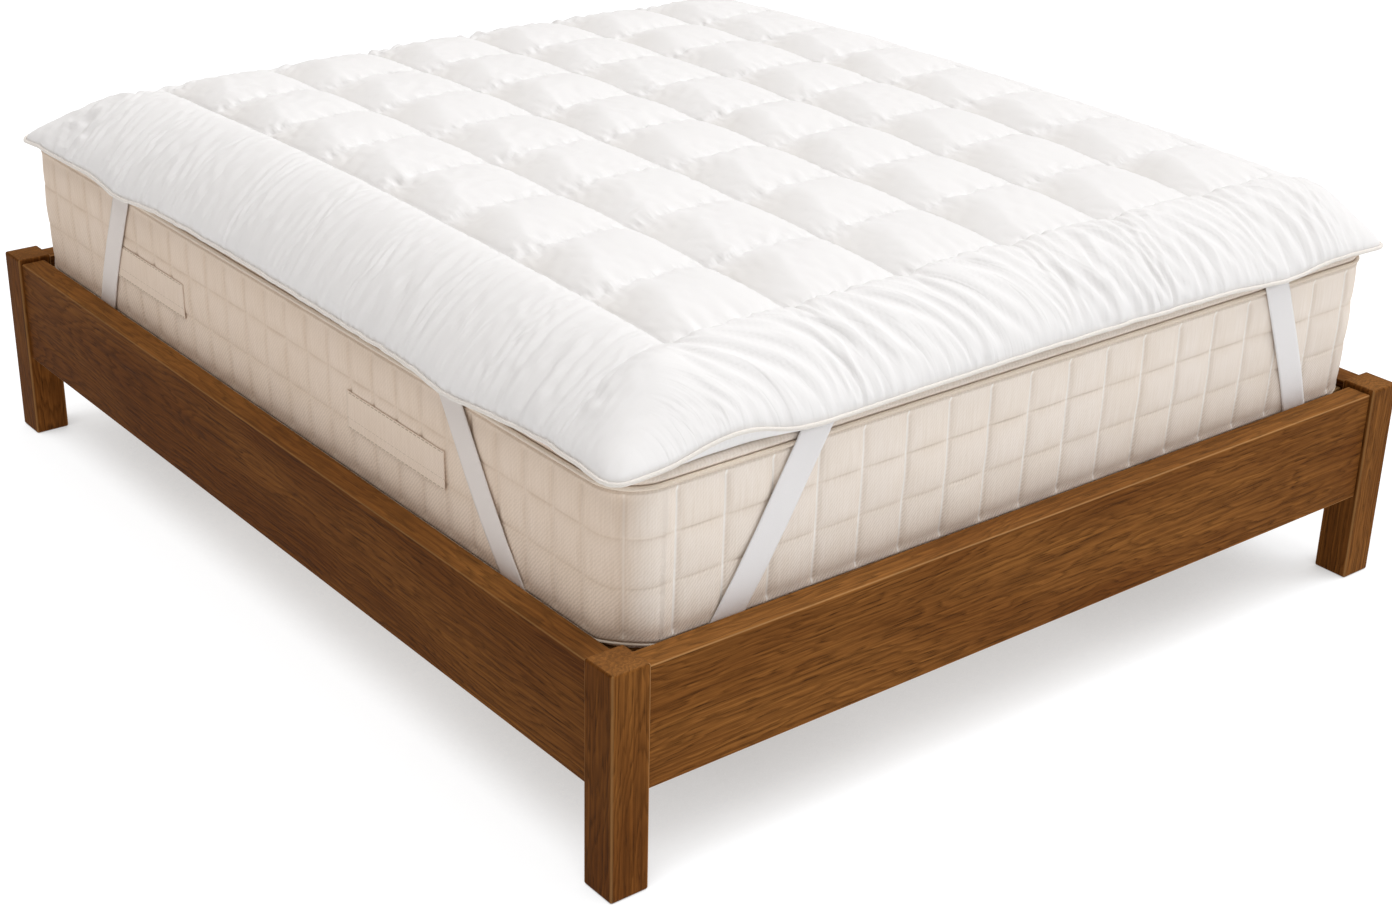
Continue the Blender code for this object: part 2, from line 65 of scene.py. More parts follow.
# ---------------------------------------------------------------- topper, in metres
EDGE_LEFT, EDGE_RIGHT = -0.811, 0.825
EDGE_FOOT, EDGE_HEAD = -0.950, 0.950
EDGE_HEIGHT = 0.617
EDGE_THICKNESS = 0.003
BORDER_LEFT, BORDER_FOOT = 0.195, 0.142
BOX_COLUMNS, BOX_ROWS = 6, 8
BOX_WIDTH, BOX_LENGTH = 0.2195, 0.190
SEAM_LEFT = EDGE_LEFT + BORDER_LEFT
SEAM_RIGHT = SEAM_LEFT + BOX_COLUMNS * BOX_WIDTH
SEAM_FOOT = EDGE_FOOT + BORDER_FOOT
SEAM_HEAD = SEAM_FOOT + BOX_ROWS * BOX_LENGTH
SEAM_HEIGHT = 0.734
# how far the sewn channels fall towards each side, and the power of the fall
SEAM_FALLS = {"left": (0.006, 2), "right": (0.014, 2), "foot": (0.025, 3), "head": (0.036, 2)}
# power of each border's rise from its edge, and the height of its own roll
BORDER_SHAPES = {
    "left": (0.72, 0.010),
    "right": (0.75, 0.003),
    "foot": (0.72, 0.017),
    "head": (0.82, 0.000),
}
ROLL_LEAN = 1.6
TIP_RADIUS = 0.030
UNDERSIDE = 0.6103
UNDERSIDE_RUN = 0.014
UNDERSIDE_RINGS = 7
PIPING_RADIUS = 0.0032
# how far apart a cord's stitches are, and how much it swells between them, as a share
CORD_STITCH, CORD_SWELL = 0.0085, 0.04
# side, place along it, outward, upward, half-length of each bump of the edge
EDGE_BUMPS = (
    ("foot", -0.610, -0.004, 0.022, 0.085),
    ("foot", -0.470, 0.006, 0.001, 0.070),
    ("foot", 0.020, 0.000, 0.005, 0.300),
    ("foot", 0.545, 0.007, -0.006, 0.090),
    ("left", -0.800, 0.001, 0.007, 0.090),
    ("left", -0.555, 0.007, -0.006, 0.080),
    ("left", 0.080, -0.004, 0.001, 0.300),
    ("left", 0.515, 0.007, -0.010, 0.090),
    ("left", 0.820, 0.000, -0.009, 0.160),
    ("right", -0.530, 0.005, -0.006, 0.080),
    ("right", 0.040, -0.004, 0.003, 0.260),
    ("right", 0.530, 0.005, -0.006, 0.080),
    ("head", -0.520, 0.006, -0.006, 0.080),
    ("head", 0.010, 0.001, 0.004, 0.260),
    ("head", 0.520, 0.006, -0.006, 0.080),
)
# side in X, side in Y, outward in X, outward in Y, upward, of the four tips
TIP_BUMPS = (
    (-1, -1, 0.001, -0.004, -0.003),
    (1, -1, 0.008, -0.004, -0.007),
    (-1, 1, 0.001, -0.003, -0.008),
    (1, 1, 0.008, 0.001, -0.012),
)
TIP_REACH = 0.060
# height of the fine waver of the whole edge
EDGE_WAVER = 0.0008
# strength of each border's creases, and how far they lean sideways on their way out
BORDER_CREASES = {"foot": (1.0, 0.15), "head": (0.8, -0.12), "left": (1.05, -0.02), "right": (0.90, -0.06)}
# how freely the cloth moves on a cross seam, and how far the boxes' puff runs into a border
CROSS_SEAM_FREEDOM = 0.12
PUFF_CARRY = 0.035
# each step of the settling lifts the cloth by this, and draws it back by this share
FILLING_LIFT = 0.00003
FILLING_HOLD = 0.010
SETTLING_STEPS = 220
# cells of the cloth's grid across a box, along a box, and over each border
CELLS_ACROSS, CELLS_ALONG = 36, 30
CELLS_BORDER = {"left": 38, "right": 26, "foot": 38, "head": 30}

# ---------------------------------------------------------------- mattress, in metres
MATTRESS_WIDTH, MATTRESS_LENGTH = 1.60, 1.90
MATTRESS_TOP, MATTRESS_BOTTOM = 0.610, 0.345
MATTRESS_CORNER = 0.070
# height above the floor and how far the side lies inside the full size
MATTRESS_PROFILE = (
    (0.3450, 0.0300), (0.3455, 0.0220), (0.3465, 0.0140), (0.3480, 0.0096), (0.3495, 0.0076),
    (0.3508, 0.0066), (0.3516, 0.0094), (0.3530, 0.0098), (0.3538, 0.0066), (0.3556, 0.0056),
    (0.3600, 0.0050), (0.3670, 0.0046), (0.3800, 0.0034), (0.4200, 0.0018),
    (0.4800, 0.0000), (0.5600, 0.0000), (0.5880, 0.0010), (0.5910, 0.0055), (0.5950, 0.0062),
    (0.5985, 0.0058), (0.6005, 0.0036), (0.6030, 0.0026), (0.6060, 0.0040), (0.6085, 0.0078),
    (0.6097, 0.0125), (0.6100, 0.0185),
)
# node, height, how far the cord's centre lies inside the full size, radius
MATTRESS_CORDS = (
    ("mattress_piping_top", 0.5950, 0.0020, 0.0035),
    ("mattress_piping_bottom", 0.3500, 0.0080, 0.0026),
)
STITCH_ROWS = (0.5190, 0.4430)
ROW_TOP, ROW_BOTTOM = 0.5900, 0.3560
# the grid's rows follow the stitches between these heights, and the profile's points beyond them
GRID_BOTTOM, GRID_TOP = 0.3580, 0.5890
# how far the line over the lower tape rises round the corners
CORNER_RISE = 0.007
# heights between which the cloth rises with that line, and its share of the rise there
RISE_HEIGHTS, RISE_SHARES = (0.345, 0.352, 0.362, 0.42), (0, 1, 1, 0)
END_PITCH, SIDE_PITCH, CORNER_PITCH = 0.0838, 0.0675, 0.0800
# cells of the grid across a pillow and up one, and how much closer they lie at its seams
PILLOW_CELLS, ROW_CELLS, PILLOW_CROWDING = 11, 18, 0.45
# share of a pillow between the straight foot side's left end and the line before it
FIRST_LINE = 0.707
# node, side of the bed, low and high end along Y
HANDLES = (
    ("handle_left_foot", -1, -0.515, -0.235),
    ("handle_left_head", -1, 0.320, 0.595),
    ("handle_right_foot", 1, -0.515, -0.235),
    ("handle_right_head", 1, 0.235, 0.515),
)
HANDLE_LOW, HANDLE_HIGH = 0.4330, 0.4980
HANDLE_WIDTH = HANDLE_HIGH - HANDLE_LOW
HANDLE_THICKNESS = 0.0012
HANDLE_STEPS = 60
# a handle's stitches lie this far inside its outline, and one row this high over its lower edge
STITCH_INSET, STITCH_LEVEL = 0.003, 0.018
# the cloth is pressed flat this far round a handle, and to this depth inside the full size
PRESSED_MARGIN, PRESSED_DEPTH = 0.003, 0.0012

# ---------------------------------------------------------------- bands, in metres
BAND_WIDTH = 0.054
BAND_THICKNESS = 0.0015
# a band starts this far under the topper's edge, and has even rows down to this height
BAND_GAP = 0.0008
BAND_EVEN_LOW, BAND_EVEN_ROWS = 0.36, 26
BAND_PROFILE = (
    (0.5700, -0.0028), (0.4800, -0.0028), (0.4200, -0.0012), (0.3850, 0.0012), (0.3620, 0.0028),
    (0.3540, 0.0034), (0.3485, 0.0075), (0.3461, 0.0220), (0.3461, 0.0300),
)
# node, side in X and Y, then the band's middle as a distance from the bed's axes:
# top and bottom of its leg on the end, top and bottom of its leg on the side
BANDS = (
    ("band_foot_left", -1, -1, 0.466, 0.618, 0.530, 0.693),
    ("band_foot_right", 1, -1, 0.530, 0.638, 0.530, 0.638),
    ("band_head_left", -1, 1, 0.520, 0.630, 0.530, 0.655),
    ("band_head_right", 1, 1, 0.520, 0.630, 0.530, 0.640),
)

# ---------------------------------------------------------------- boards, in metres
POST_EASE, RAIL_EASE = 0.0040, 0.0025
# how light the wood is drawn: wear with a painted highlight round each long edge, wear at the ends, and
# painted light on top
EDGE_WEAR_AND_HIGHLIGHT, END_WEAR, TOP_LIGHT = (0.0, 0.6, 1.0, 0.6, 0.0), 0.2, 0.13
# painted shade: how far the faces towards the left are drawn darker, to match the photograph's darker left
# side
LEFT_SHADE = 0.9

# ---------------------------------------------------------------- stage and camera
FLOOR_REACH, FLOOR_LINES, FLOOR_DROP = 14, 15, 0.0002
LAMP_COLOUR = (0.985, 1.0, 1.015)
# the room is brighter and cooler towards this side than on the other
BRIGHT_SIDE = (0.42, -0.16, 0.10)
DIM_COLOUR, BRIGHT_COLOUR = (1.0, 0.88, 0.775), (1.0, 0.97, 0.945)
CAMERA_FAR = 60
IMAGE_WIDTH = 1392
CAMERA_PLACE = (-2.3737, -3.0645, 1.8951)
CAMERA_AZIMUTH, CAMERA_ELEVATION, CAMERA_ROLL = 38.742, 25.116, 1.347
FOCAL_PIXELS = 2251.1
SENSOR = 36.0


# ---------------------------------------------------------------- small helpers
def linear(colour):
    """An sRGB hex colour as linear red, green and blue."""
    parts = [int(colour[place:place + 2], 16) / 255 for place in (0, 2, 4)]
    return tuple(c / 12.92 if c <= 0.04045 else ((c + 0.055) / 1.055) ** 2.4 for c in parts)


def lattice_noise(across, along, seed):
    """Smooth noise from -1 to 1: random heights on a unit lattice, joined by eased curves."""
    size = 128
    table = np.random.default_rng(seed).uniform(-1.0, 1.0, (size, size))
    column, row = np.floor(across).astype(int), np.floor(along).astype(int)
    u, v = across - column, along - row
    u, v = u * u * (3 - 2 * u), v * v * (3 - 2 * v)
    low = table[column % size, row % size] * (1 - u) + table[(column + 1) % size, row % size] * u
    row = row + 1
    high = table[column % size, row % size] * (1 - u) + table[(column + 1) % size, row % size] * u
    return low * (1 - v) + high * v


def valleys(across, along, seed):
    """Noise folded at its middle, |noise| less about its mean: its creases are valleys."""
    return np.abs(lattice_noise(across, along, seed)) - FOLD_MEAN


def puff(fraction, power=0.5):
    """Roundness between two seams: (4 f (1 - f)) to a power, 0 at each and 1 between."""
    return np.maximum(0.0, 4 * fraction * (1 - fraction)) ** power


def bump(distance, reach):
    """A smooth bump: 1 at its middle, fading over its reach as a bell curve."""
    return np.exp(-((distance / reach) ** 2))


def crowded(count, ease=0.5):
    """Fractions from 0 to nearly 1 that lie closer together at both ends."""
    even = np.arange(count) / count
    return even - ease * np.sin(2 * math.pi * even) / (2 * math.pi)


def steps_of(path):
    """The length of each step of a path."""
    return np.linalg.norm(np.diff(path, axis=0), axis=1)


def run_along(path):
    """How far each point of a path lies along it from its first point."""
    return np.concatenate(([0.0], np.cumsum(steps_of(path))))


def add_surface(name, points, faces, material, attributes=None, smooth=True):
    """Put points and faces in a mesh of one material, with point attributes.

    Smooth is one value, or one for each face.
    """
    mesh = bpy.data.meshes.new(name)
    faces = [face for group in faces for face in np.asarray(group).tolist()]
    mesh.from_pydata(np.asarray(points).tolist(), [], faces)
    for key, values in (attributes or {}).items():
        layer = mesh.attributes.new(key, "FLOAT_VECTOR", "POINT")
        layer.data.foreach_set("vector", np.ascontiguousarray(values, dtype=np.float32).ravel())
    mesh.materials.append(material)
    mesh.polygons.foreach_set("use_smooth", np.broadcast_to(smooth, len(faces)).tolist())
    mesh.update()
    thing = bpy.data.objects.new(name, mesh)
    bpy.context.scene.collection.objects.link(thing)
    return thing


def grid_faces(columns, rows, wrap=False, rings=False):
    """Faces of a grid whose points are numbered column by column.

    Wrap joins its last column to its first.  With rings each column is a closed ring.
    """
    spans = np.arange(columns if wrap else columns - 1), np.arange(rows if rings else rows - 1)
    column, row = np.meshgrid(*spans, indexing="ij")
    after, above = (column + 1) % columns, (row + 1) % rows
    corners = (column * rows + row, after * rows + row, after * rows + above, column * rows + above)
    return np.stack(corners, -1).reshape(-1, 4)


def end_rings(columns, rows):
    """Numbers of the first and the last ring's points, as one face each."""
    first = np.arange(rows)[None, :]
    return first, first + (columns - 1) * rows


def moved_out(path, distance):
    """A closed anticlockwise path, moved outward in plan by a distance at each point."""
    along = np.roll(path, -1, axis=0)[:, :2] - np.roll(path, 1, axis=0)[:, :2]
    along /= np.linalg.norm(along, axis=1, keepdims=True)
    moved = path.copy()
    moved[:, 0] += distance * along[:, 1]
    moved[:, 1] -= distance * along[:, 0]
    return moved


def round_cord(name, path, radius, material, sides=10):
    """A closed cord: a ring of points round each point of the path.

    The ring is centre + r (cos a outward + sin a up), and r swells a little
    between the stitches that hold the cord.
    """
    along = np.roll(path, -1, axis=0) - np.roll(path, 1, axis=0)
    run = run_along(path)
    outward = np.stack((along[:, 1], -along[:, 0], np.zeros(len(path))), -1)
    outward /= np.linalg.norm(outward, axis=1, keepdims=True)
    angle = np.arange(sides) * 2 * math.pi / sides
    swell = radius * (1 + CORD_SWELL * np.sin(run / CORD_STITCH * 2 * math.pi))[:, None, None]
    ring = np.cos(angle)[None, :, None] * outward[:, None, :]
    ring = ring + np.sin(angle)[None, :, None] * np.array((0.0, 0.0, 1.0))
    points = path[:, None, :] + swell * ring
    around = np.broadcast_to(angle * radius, (len(path), sides))
    cloth = np.stack((np.broadcast_to(run[:, None], around.shape), around, 0 * around), -1)
    faces = grid_faces(len(path), sides, wrap=True, rings=True)
    attributes = {"cloth": cloth.reshape(-1, 3)}
    return add_surface(name, points.reshape(-1, 3), [faces], material, attributes)


# ---------------------------------------------------------------- topper
def tip_place(x_sign, y_sign):
    """Where one of the topper's four tips lies."""
    return EDGE_RIGHT if x_sign > 0 else EDGE_LEFT, EDGE_HEAD if y_sign > 0 else EDGE_FOOT


def beyond_seams(x, y):
    """How far a place lies beyond the quilted boxes, along X and along Y."""
    out_x = np.maximum(0, np.maximum(SEAM_LEFT - x, x - SEAM_RIGHT))
    out_y = np.maximum(0, np.maximum(SEAM_FOOT - y, y - SEAM_HEAD))
    return out_x, out_y


def edge_shift(side, x, y):
    """How far the topper's edge lies outward along X, along Y and up, beside a point.

    Each bump of the side and each tip adds its height times a bell curve, and a
    small ripple gives the edge the waver of gathered cloth.
    """
    shift = np.zeros((3, len(x)))
    axis, along = (0, y) if side in ("left", "right") else (1, x)
    sign = -1 if side in ("left", "foot") else 1
    for name, middle, outward, upward, reach in EDGE_BUMPS:
        if name == side:
            weight = bump(along - middle, reach)
            shift[axis] += sign * outward * weight
            shift[2] += upward * weight
    for x_sign, y_sign, out_x, out_y, upward in TIP_BUMPS:
        far_x, far_y = tip_place(x_sign, y_sign)
        weight = bump(np.hypot(x - far_x, y - far_y), TIP_REACH)
        shift[0] += x_sign * out_x * weight
        shift[1] += y_sign * out_y * weight
        shift[2] += upward * weight
    run = x + y * 1.7
    ripple = lattice_noise(run / 0.034, 0 * run, 11) + 0.6 * lattice_noise(run / 0.015, 0 * run, 12)
    shift[axis] += sign * EDGE_WAVER * ripple
    shift[2] += EDGE_WAVER * lattice_noise(run / 0.041, 0 * run, 13)
    return shift


def border_places(side, edge, width):
    """Grid places over a border from its edge: place, border and box fraction, rise, roll.

    The rise is sin(f pi / 2) to the border's power, and the roll is its height
    times 4 g (1 - g), where g is f leaned towards the seam.
    """
    power, height = BORDER_SHAPES[side]
    f = crowded(CELLS_BORDER[side])
    rise = np.sin(math.pi / 2 * f) ** power
    roll = height * puff(f ** ROLL_LEAN, 1.0)
    return np.stack((edge + f * width, f, 0 * f, rise, roll), -1)


def cloth_places(sides, edge_low, seam_low, count, size, edge_high, cells):
    """Grid places along one axis: its low border, its boxes and its high border."""
    seam_high = seam_low + count * size
    f = crowded(cells)
    one = np.ones_like(f)
    boxes = [np.stack((seam_low + (index + f) * size, one, f, one, 0 * f), -1) for index in range(count)]
    last = np.array([[seam_high, 1.0, 0.0, 1.0, 0.0]])
    low = border_places(sides[0], edge_low, seam_low - edge_low)
    high = border_places(sides[1], edge_high, seam_high - edge_high)
    return np.concatenate((low, *boxes, last, high[::-1]))


def rounded_tips(x, y):
    """Draw the points near each square corner of the outline onto a rounded corner."""
    in_x = np.minimum(x - EDGE_LEFT, EDGE_RIGHT - x)
    in_y = np.minimum(y - EDGE_FOOT, EDGE_HEAD - y)
    near, far = np.minimum(in_x, in_y), np.maximum(in_x, in_y)
    inside = np.maximum(TIP_RADIUS - near, 1e-9)
    turn = math.pi / 4 * (TIP_RADIUS - far) / inside
    deep = TIP_RADIUS - inside * np.cos(turn)
    wide = TIP_RADIUS - inside * np.sin(turn)
    close = far < TIP_RADIUS
    new_x = np.where(close, np.where(in_x <= in_y, deep, wide), in_x)
    new_y = np.where(close, np.where(in_x <= in_y, wide, deep), in_y)
    x_sign = np.where(x - EDGE_LEFT < EDGE_RIGHT - x, -1, 1)
    y_sign = np.where(y - EDGE_FOOT < EDGE_HEAD - y, -1, 1)
    return x + x_sign * (in_x - new_x), y + y_sign * (in_y - new_y)


def softer_least(one, other):
    """About the lesser of two rises: 1 over the root of (a^-2 + b^-2 - 1), and 0 at an edge."""
    edge = np.minimum(one, other) <= 0
    one, other = np.maximum(one, 1e-6), np.maximum(other, 1e-6)
    return np.where(edge, 0.0, 1 / np.sqrt(one ** -2 + other ** -2 - 1))


def seam_heights(x, y):
    """The height of the sewn channels: a low dome that falls towards the four sides."""
    across = (2 * x - EDGE_LEFT - EDGE_RIGHT) / (EDGE_RIGHT - EDGE_LEFT)
    along = (2 * y - EDGE_FOOT - EDGE_HEAD) / (EDGE_HEAD - EDGE_FOOT)
    height = SEAM_HEIGHT
    for share, low, high in ((across, "left", "right"), (along, "foot", "head")):
        for side, here in ((low, share < 0), (high, share >= 0)):
            fall, power = SEAM_FALLS[side]
            height = height - np.where(here, fall * np.abs(share) ** power, 0.0)
    return height


def border_creases(x, y, border_x, border_y, depth):
    """Creases that run from the seams to the edge, and the attribute that the weave's bump reads.

    The crease's own coordinate is the place along the side less a lean.  The lean grows
    with the way w out from the seam, as sin(w pi / 2) at the foot and as w^1.6 elsewhere.
    A crease is a valley of |noise| in that coordinate.
    """
    height = np.zeros_like(x)
    gather = np.zeros((*x.shape, 3))
    corner_fade = np.minimum(1.0, border_x * 1.15 + 0.05)
    sides = (
        ("foot", 1 - border_y, (y < 0) & (border_y < 1), x, border_x),
        ("head", 1 - border_y, (y > 0) & (border_y < 1), x, border_x),
        ("left", 1 - border_x, (x < 0) & (border_x < 1), y, border_y),
        ("right", 1 - border_x, (x > 0) & (border_x < 1), y, border_y),
    )
    for seed, (side, way, here, along, other) in enumerate(sides):
        strength, lean = BORDER_CREASES[side]
        lean = lean * (1 - 0.35 * along / 0.8)
        turned = np.sin(math.pi / 2 * way) if side == "foot" else way ** 1.6
        phase = along - lean * turned
        phase = phase + 0.018 * lattice_noise(along / 0.21, way * 1.2, 40 + seed)
        swell = lattice_noise(phase / 0.13, way * 0.8, 50 + seed)
        long_folds = valleys(phase / 0.052, way * 1.1, 20 + seed)
        short_folds = valleys(phase / 0.024, way * 1.9, 30 + seed)
        envelope = np.clip(way / 0.10, 0, 1) * (1 - 0.35 * way) * np.clip((1 - way) / 0.05, 0, 1)
        folds = 1.25 * long_folds + 0.45 * short_folds * (0.5 + way) + 0.35 * swell
        # the creases of two sides die away on the diagonal of the corner between them
        mask = np.clip((other - 1 + way) / 0.35 + 2 * np.clip((other - 0.85) / 0.15, 0, 1), 0, 1)
        mask = np.where(here, mask * np.clip((other - 0.10) / 0.5, 0, 1), 0.0)
        height += depth * strength * envelope * folds * mask
        stronger = here & (mask * strength > gather[..., 2])
        gather[..., 0] = np.where(stronger, phase, gather[..., 0])
        gather[..., 1] = np.where(stronger, way, gather[..., 1])
        gather[..., 2] = np.maximum(gather[..., 2], mask * strength)
    return height * np.minimum(1, corner_fade + 0.2), gather


def tip_creases(x, y, depth):
    """Creases that spread from each tip of the topper: |noise| of the angle about the tip."""
    height = np.zeros_like(x)
    for seed, (x_sign, y_sign, *_) in enumerate(TIP_BUMPS):
        far_x, far_y = tip_place(x_sign, y_sign)
        away_x, away_y = (far_x - x) * x_sign, (far_y - y) * y_sign
        reach = np.hypot(away_x, away_y)
        angle = np.arctan2(away_y, np.maximum(away_x, 1e-6))
        angle = angle + 0.20 * lattice_noise(reach / 0.09, angle * 2, 70 + seed)
        folds = valleys(angle * 7.0, reach / 0.16, 60 + seed)
        folds += 0.5 * valleys(angle * 15.0, reach / 0.07, 65 + seed)
        envelope = np.clip((reach - 0.02) / 0.05, 0, 1) * np.exp(-((reach / 0.13) ** 2))
        height += depth * folds * envelope * (2.0 if y_sign < 0 else 0.4)
    return height


def quilting(x, y, box_x, box_y, sizes):
    """The puffed boxes, their stitched channels and the puckers beside them.

    A box is puff (0.56 px + 0.40 px py + 0.06 py), of which the first two shares trade
    up to 0.10 from box to box.  Across it, px climbs slowly over its slack part and falls
    fast at the far side, as the filling has slid over; py is even.  The slack part is
    0.24 + 0.17 t of the box wide, where t = 9.48 v^3 (1 - v) is 1 at three quarters v of
    the box's length, and it holds a hollow of 0.10 puff.  The first and last part carry
    on a little way into the border.
    """
    out_x, out_y = beyond_seams(x, y)
    carry_x, carry_y = np.exp(-out_x / PUFF_CARRY), np.exp(-out_y / PUFF_CARRY)
    inside_x, inside_y = out_x == 0, out_y == 0
    cell_x = np.where(inside_x, (x - SEAM_LEFT) / BOX_WIDTH, 0)
    cell_y = np.where(inside_y, (y - SEAM_FOOT) / BOX_LENGTH, 0)
    vary = lattice_noise(np.floor(cell_x), np.floor(cell_y), 5)
    lean = 0.07 * lattice_noise(np.floor(cell_x), np.floor(cell_y), 6)
    # a border carries on the pattern of the row or the column of boxes beside it
    tongue = 9.48 * box_y ** 3 * (1 - box_y)
    slack_reach = 0.24 + 0.17 * tongue
    px = 1 - np.maximum(0, 1 - box_x / slack_reach) ** 1.5 - np.maximum(0, (box_x - 0.60) / 0.40) ** 3.2
    px = np.where(inside_x & (box_x > 0), px, 0.0)
    py = puff(np.clip(box_y + lean * puff(box_y, 1), 0, 1), 0.85)
    high = sizes.box_puff
    height = high * (0.40 + 0.10 * vary) * px * py
    height = height + high * ((0.56 - 0.10 * vary) * px * carry_y + 0.06 * py * carry_x)
    hollow = bump(box_x - 0.14, 0.14) * bump(box_y - 0.84, 0.18) * (1 + 0.6 * vary)
    height = height - 0.10 * high * np.where(inside_x & inside_y, hollow, 0.0)
    to_long = np.where(inside_x, BOX_WIDTH * np.minimum(box_x, 1 - box_x), out_x)
    to_cross = np.where(inside_y, BOX_LENGTH * np.minimum(box_y, 1 - box_y), out_y)
    # carried seams fade out where a channel runs past the quilted field
    height = height - sizes.stitch_depth * bump(to_long, 0.003) * np.exp(-out_y / 0.010)
    height = height - 0.50 * sizes.stitch_depth * bump(to_cross, 0.004) * np.exp(-out_x / 0.010)
    beside_cross = np.exp(-to_cross / 0.022) * np.exp(-out_x / 0.02) * np.where(box_y < 0.5, 1.3, 0.6)
    beside_long = np.exp(-to_long / 0.016) * np.exp(-out_y / 0.02)
    puckers = lattice_noise(x / 0.015, y / 0.045, 7) + 0.6 * lattice_noise(x / 0.008, y / 0.030, 8)
    height = height + sizes.pucker * puckers * beside_cross * np.minimum(1, to_cross / 0.003)
    puckers = lattice_noise(y / 0.017, x / 0.040, 9)
    height = height + 0.55 * sizes.pucker * puckers * beside_long * np.minimum(1, to_long / 0.003)
    # painted shade: the slack flank beside each lengthwise seam is drawn greyer, carried to the cloth in the
    # seam attribute's Z
    flank_shade = np.clip(1 - box_x / slack_reach, 0, 1) ** 0.9 * np.clip(box_x / 0.02, 0, 1)
    flank_shade = flank_shade * (0.25 + 0.75 * tongue) * (0.85 + 0.15 * vary)
    flank_shade = np.where(inside_x, flank_shade * carry_y, 0.0)
    seam = np.stack((to_long + out_y * 3, to_cross + out_x * 3, flank_shade), -1)
    return height, seam


def soft_waves(x, y):
    """Slack of the filled cloth: a low waver, and soft folds that cross each box."""
    waver = 0.0012 * lattice_noise(x / 0.11, y / 0.13, 3)
    turned = x * 0.8 + y * 0.6 + 0.02 * lattice_noise(x / 0.12, y / 0.12, 16)
    crossed = y * 0.8 - x * 0.6
    folds = valleys(turned / 0.045, crossed / 0.13, 14)
    folds += 0.6 * valleys(crossed / 0.038, turned / 0.11, 15)
    return waver + 0.0006 * folds


def topper_surface(sizes):
    """The points of the topper's upper face, and the attributes that its weave reads.

    The edge's own shift is blended over the borders from all four sides.  The filled
    shape's height is the edge's, plus the channels' rise and the boxes; the creases
    and a fine roughness start the settling of the slack cloth.
    """
    across = cloth_places(("left", "right"), EDGE_LEFT, SEAM_LEFT, BOX_COLUMNS, BOX_WIDTH, EDGE_RIGHT,
                          CELLS_ACROSS)
    along = cloth_places(("foot", "head"), EDGE_FOOT, SEAM_FOOT, BOX_ROWS, BOX_LENGTH, EDGE_HEAD,
                         CELLS_ALONG)
    shape = (len(across), len(along))
    x, border_x, box_x, rise_x, roll_x = (np.broadcast_to(a[:, None], shape) for a in across.T)
    y, border_y, box_y, rise_y, roll_y = (np.broadcast_to(a[None, :], shape) for a in along.T)
    line_x, line_y = across[:, 0], along[:, 0]
    low_x, high_x = np.full_like(line_y, EDGE_LEFT), np.full_like(line_y, EDGE_RIGHT)
    low_y, high_y = np.full_like(line_x, EDGE_FOOT), np.full_like(line_x, EDGE_HEAD)
    left, right = edge_shift("left", low_x, line_y), edge_shift("right", high_x, line_y)
    foot, head = edge_shift("foot", line_x, low_y), edge_shift("head", line_x, high_y)
    fade_x, fade_y = (1 - border_x) ** 2, (1 - border_y) ** 2
    side = np.where(x < 0, left[:, None, :], right[:, None, :])
    end = np.where(y < 0, foot[:, :, None], head[:, :, None])
    corner_low = np.where(x < 0, foot[:, :1, None], foot[:, -1:, None])
    corner_high = np.where(x < 0, head[:, :1, None], head[:, -1:, None])
    corner = np.where(y < 0, corner_low, corner_high)
    move = fade_x * side + fade_y * end - fade_x * fade_y * corner
    height = EDGE_HEIGHT + move[2] + (seam_heights(x, y) - EDGE_HEIGHT) * softer_least(rise_x, rise_y)
    # beside the boxes a roll is full up to its seam, and in the corners it dies away softly
    out_x, out_y = beyond_seams(x, y)
    full_x, full_y = 0.5 + 1.1 * (1 - np.exp(-out_y / 0.03)), 0.5 + 1.1 * (1 - np.exp(-out_x / 0.03))
    deep_x = max(BORDER_SHAPES["left"][1], BORDER_SHAPES["right"][1])
    deep_y = max(BORDER_SHAPES["foot"][1], BORDER_SHAPES["head"][1])
    height = height + deep_x * (roll_x / deep_x) ** full_x * rise_y
    height = height + deep_y * (roll_y / deep_y) ** full_y * rise_x
    boxes, seam = quilting(x, y, box_x, box_y, sizes)
    creases, gather = border_creases(x, y, border_x, border_y, sizes.crease_depth)
    inner = np.minimum(border_x, border_y)
    calm = np.clip(inner / 0.04, 0, 1)
    detail = creases + tip_creases(x, y, 0.35 * sizes.crease_depth)
    height = height + boxes + calm * soft_waves(x, y)
    round_x, round_y = rounded_tips(x, y)
    base = np.stack((round_x + move[0], round_y + move[1], height), -1)
    on_foot = np.where((y < SEAM_FOOT) & (border_x >= 1), 1.0, 0.0)
    loose = np.where(inner < 1, 0.0012 + 0.0014 * on_foot, 0.0005)
    rough = detail + loose * lattice_noise(x / 0.013, y / 0.013, 91) * np.clip(inner / 0.3, 0.15, 1)
    start = base + np.stack((0 * x, 0 * x, calm * rough), -1)
    points = settle(base, start, cloth_slack(x, y, sizes), sewn_points(*shape), SETTLING_STEPS)
    cloth = np.stack((x, y, inner), -1)
    return points, {"cloth": cloth, "gather": gather, "seam": seam}


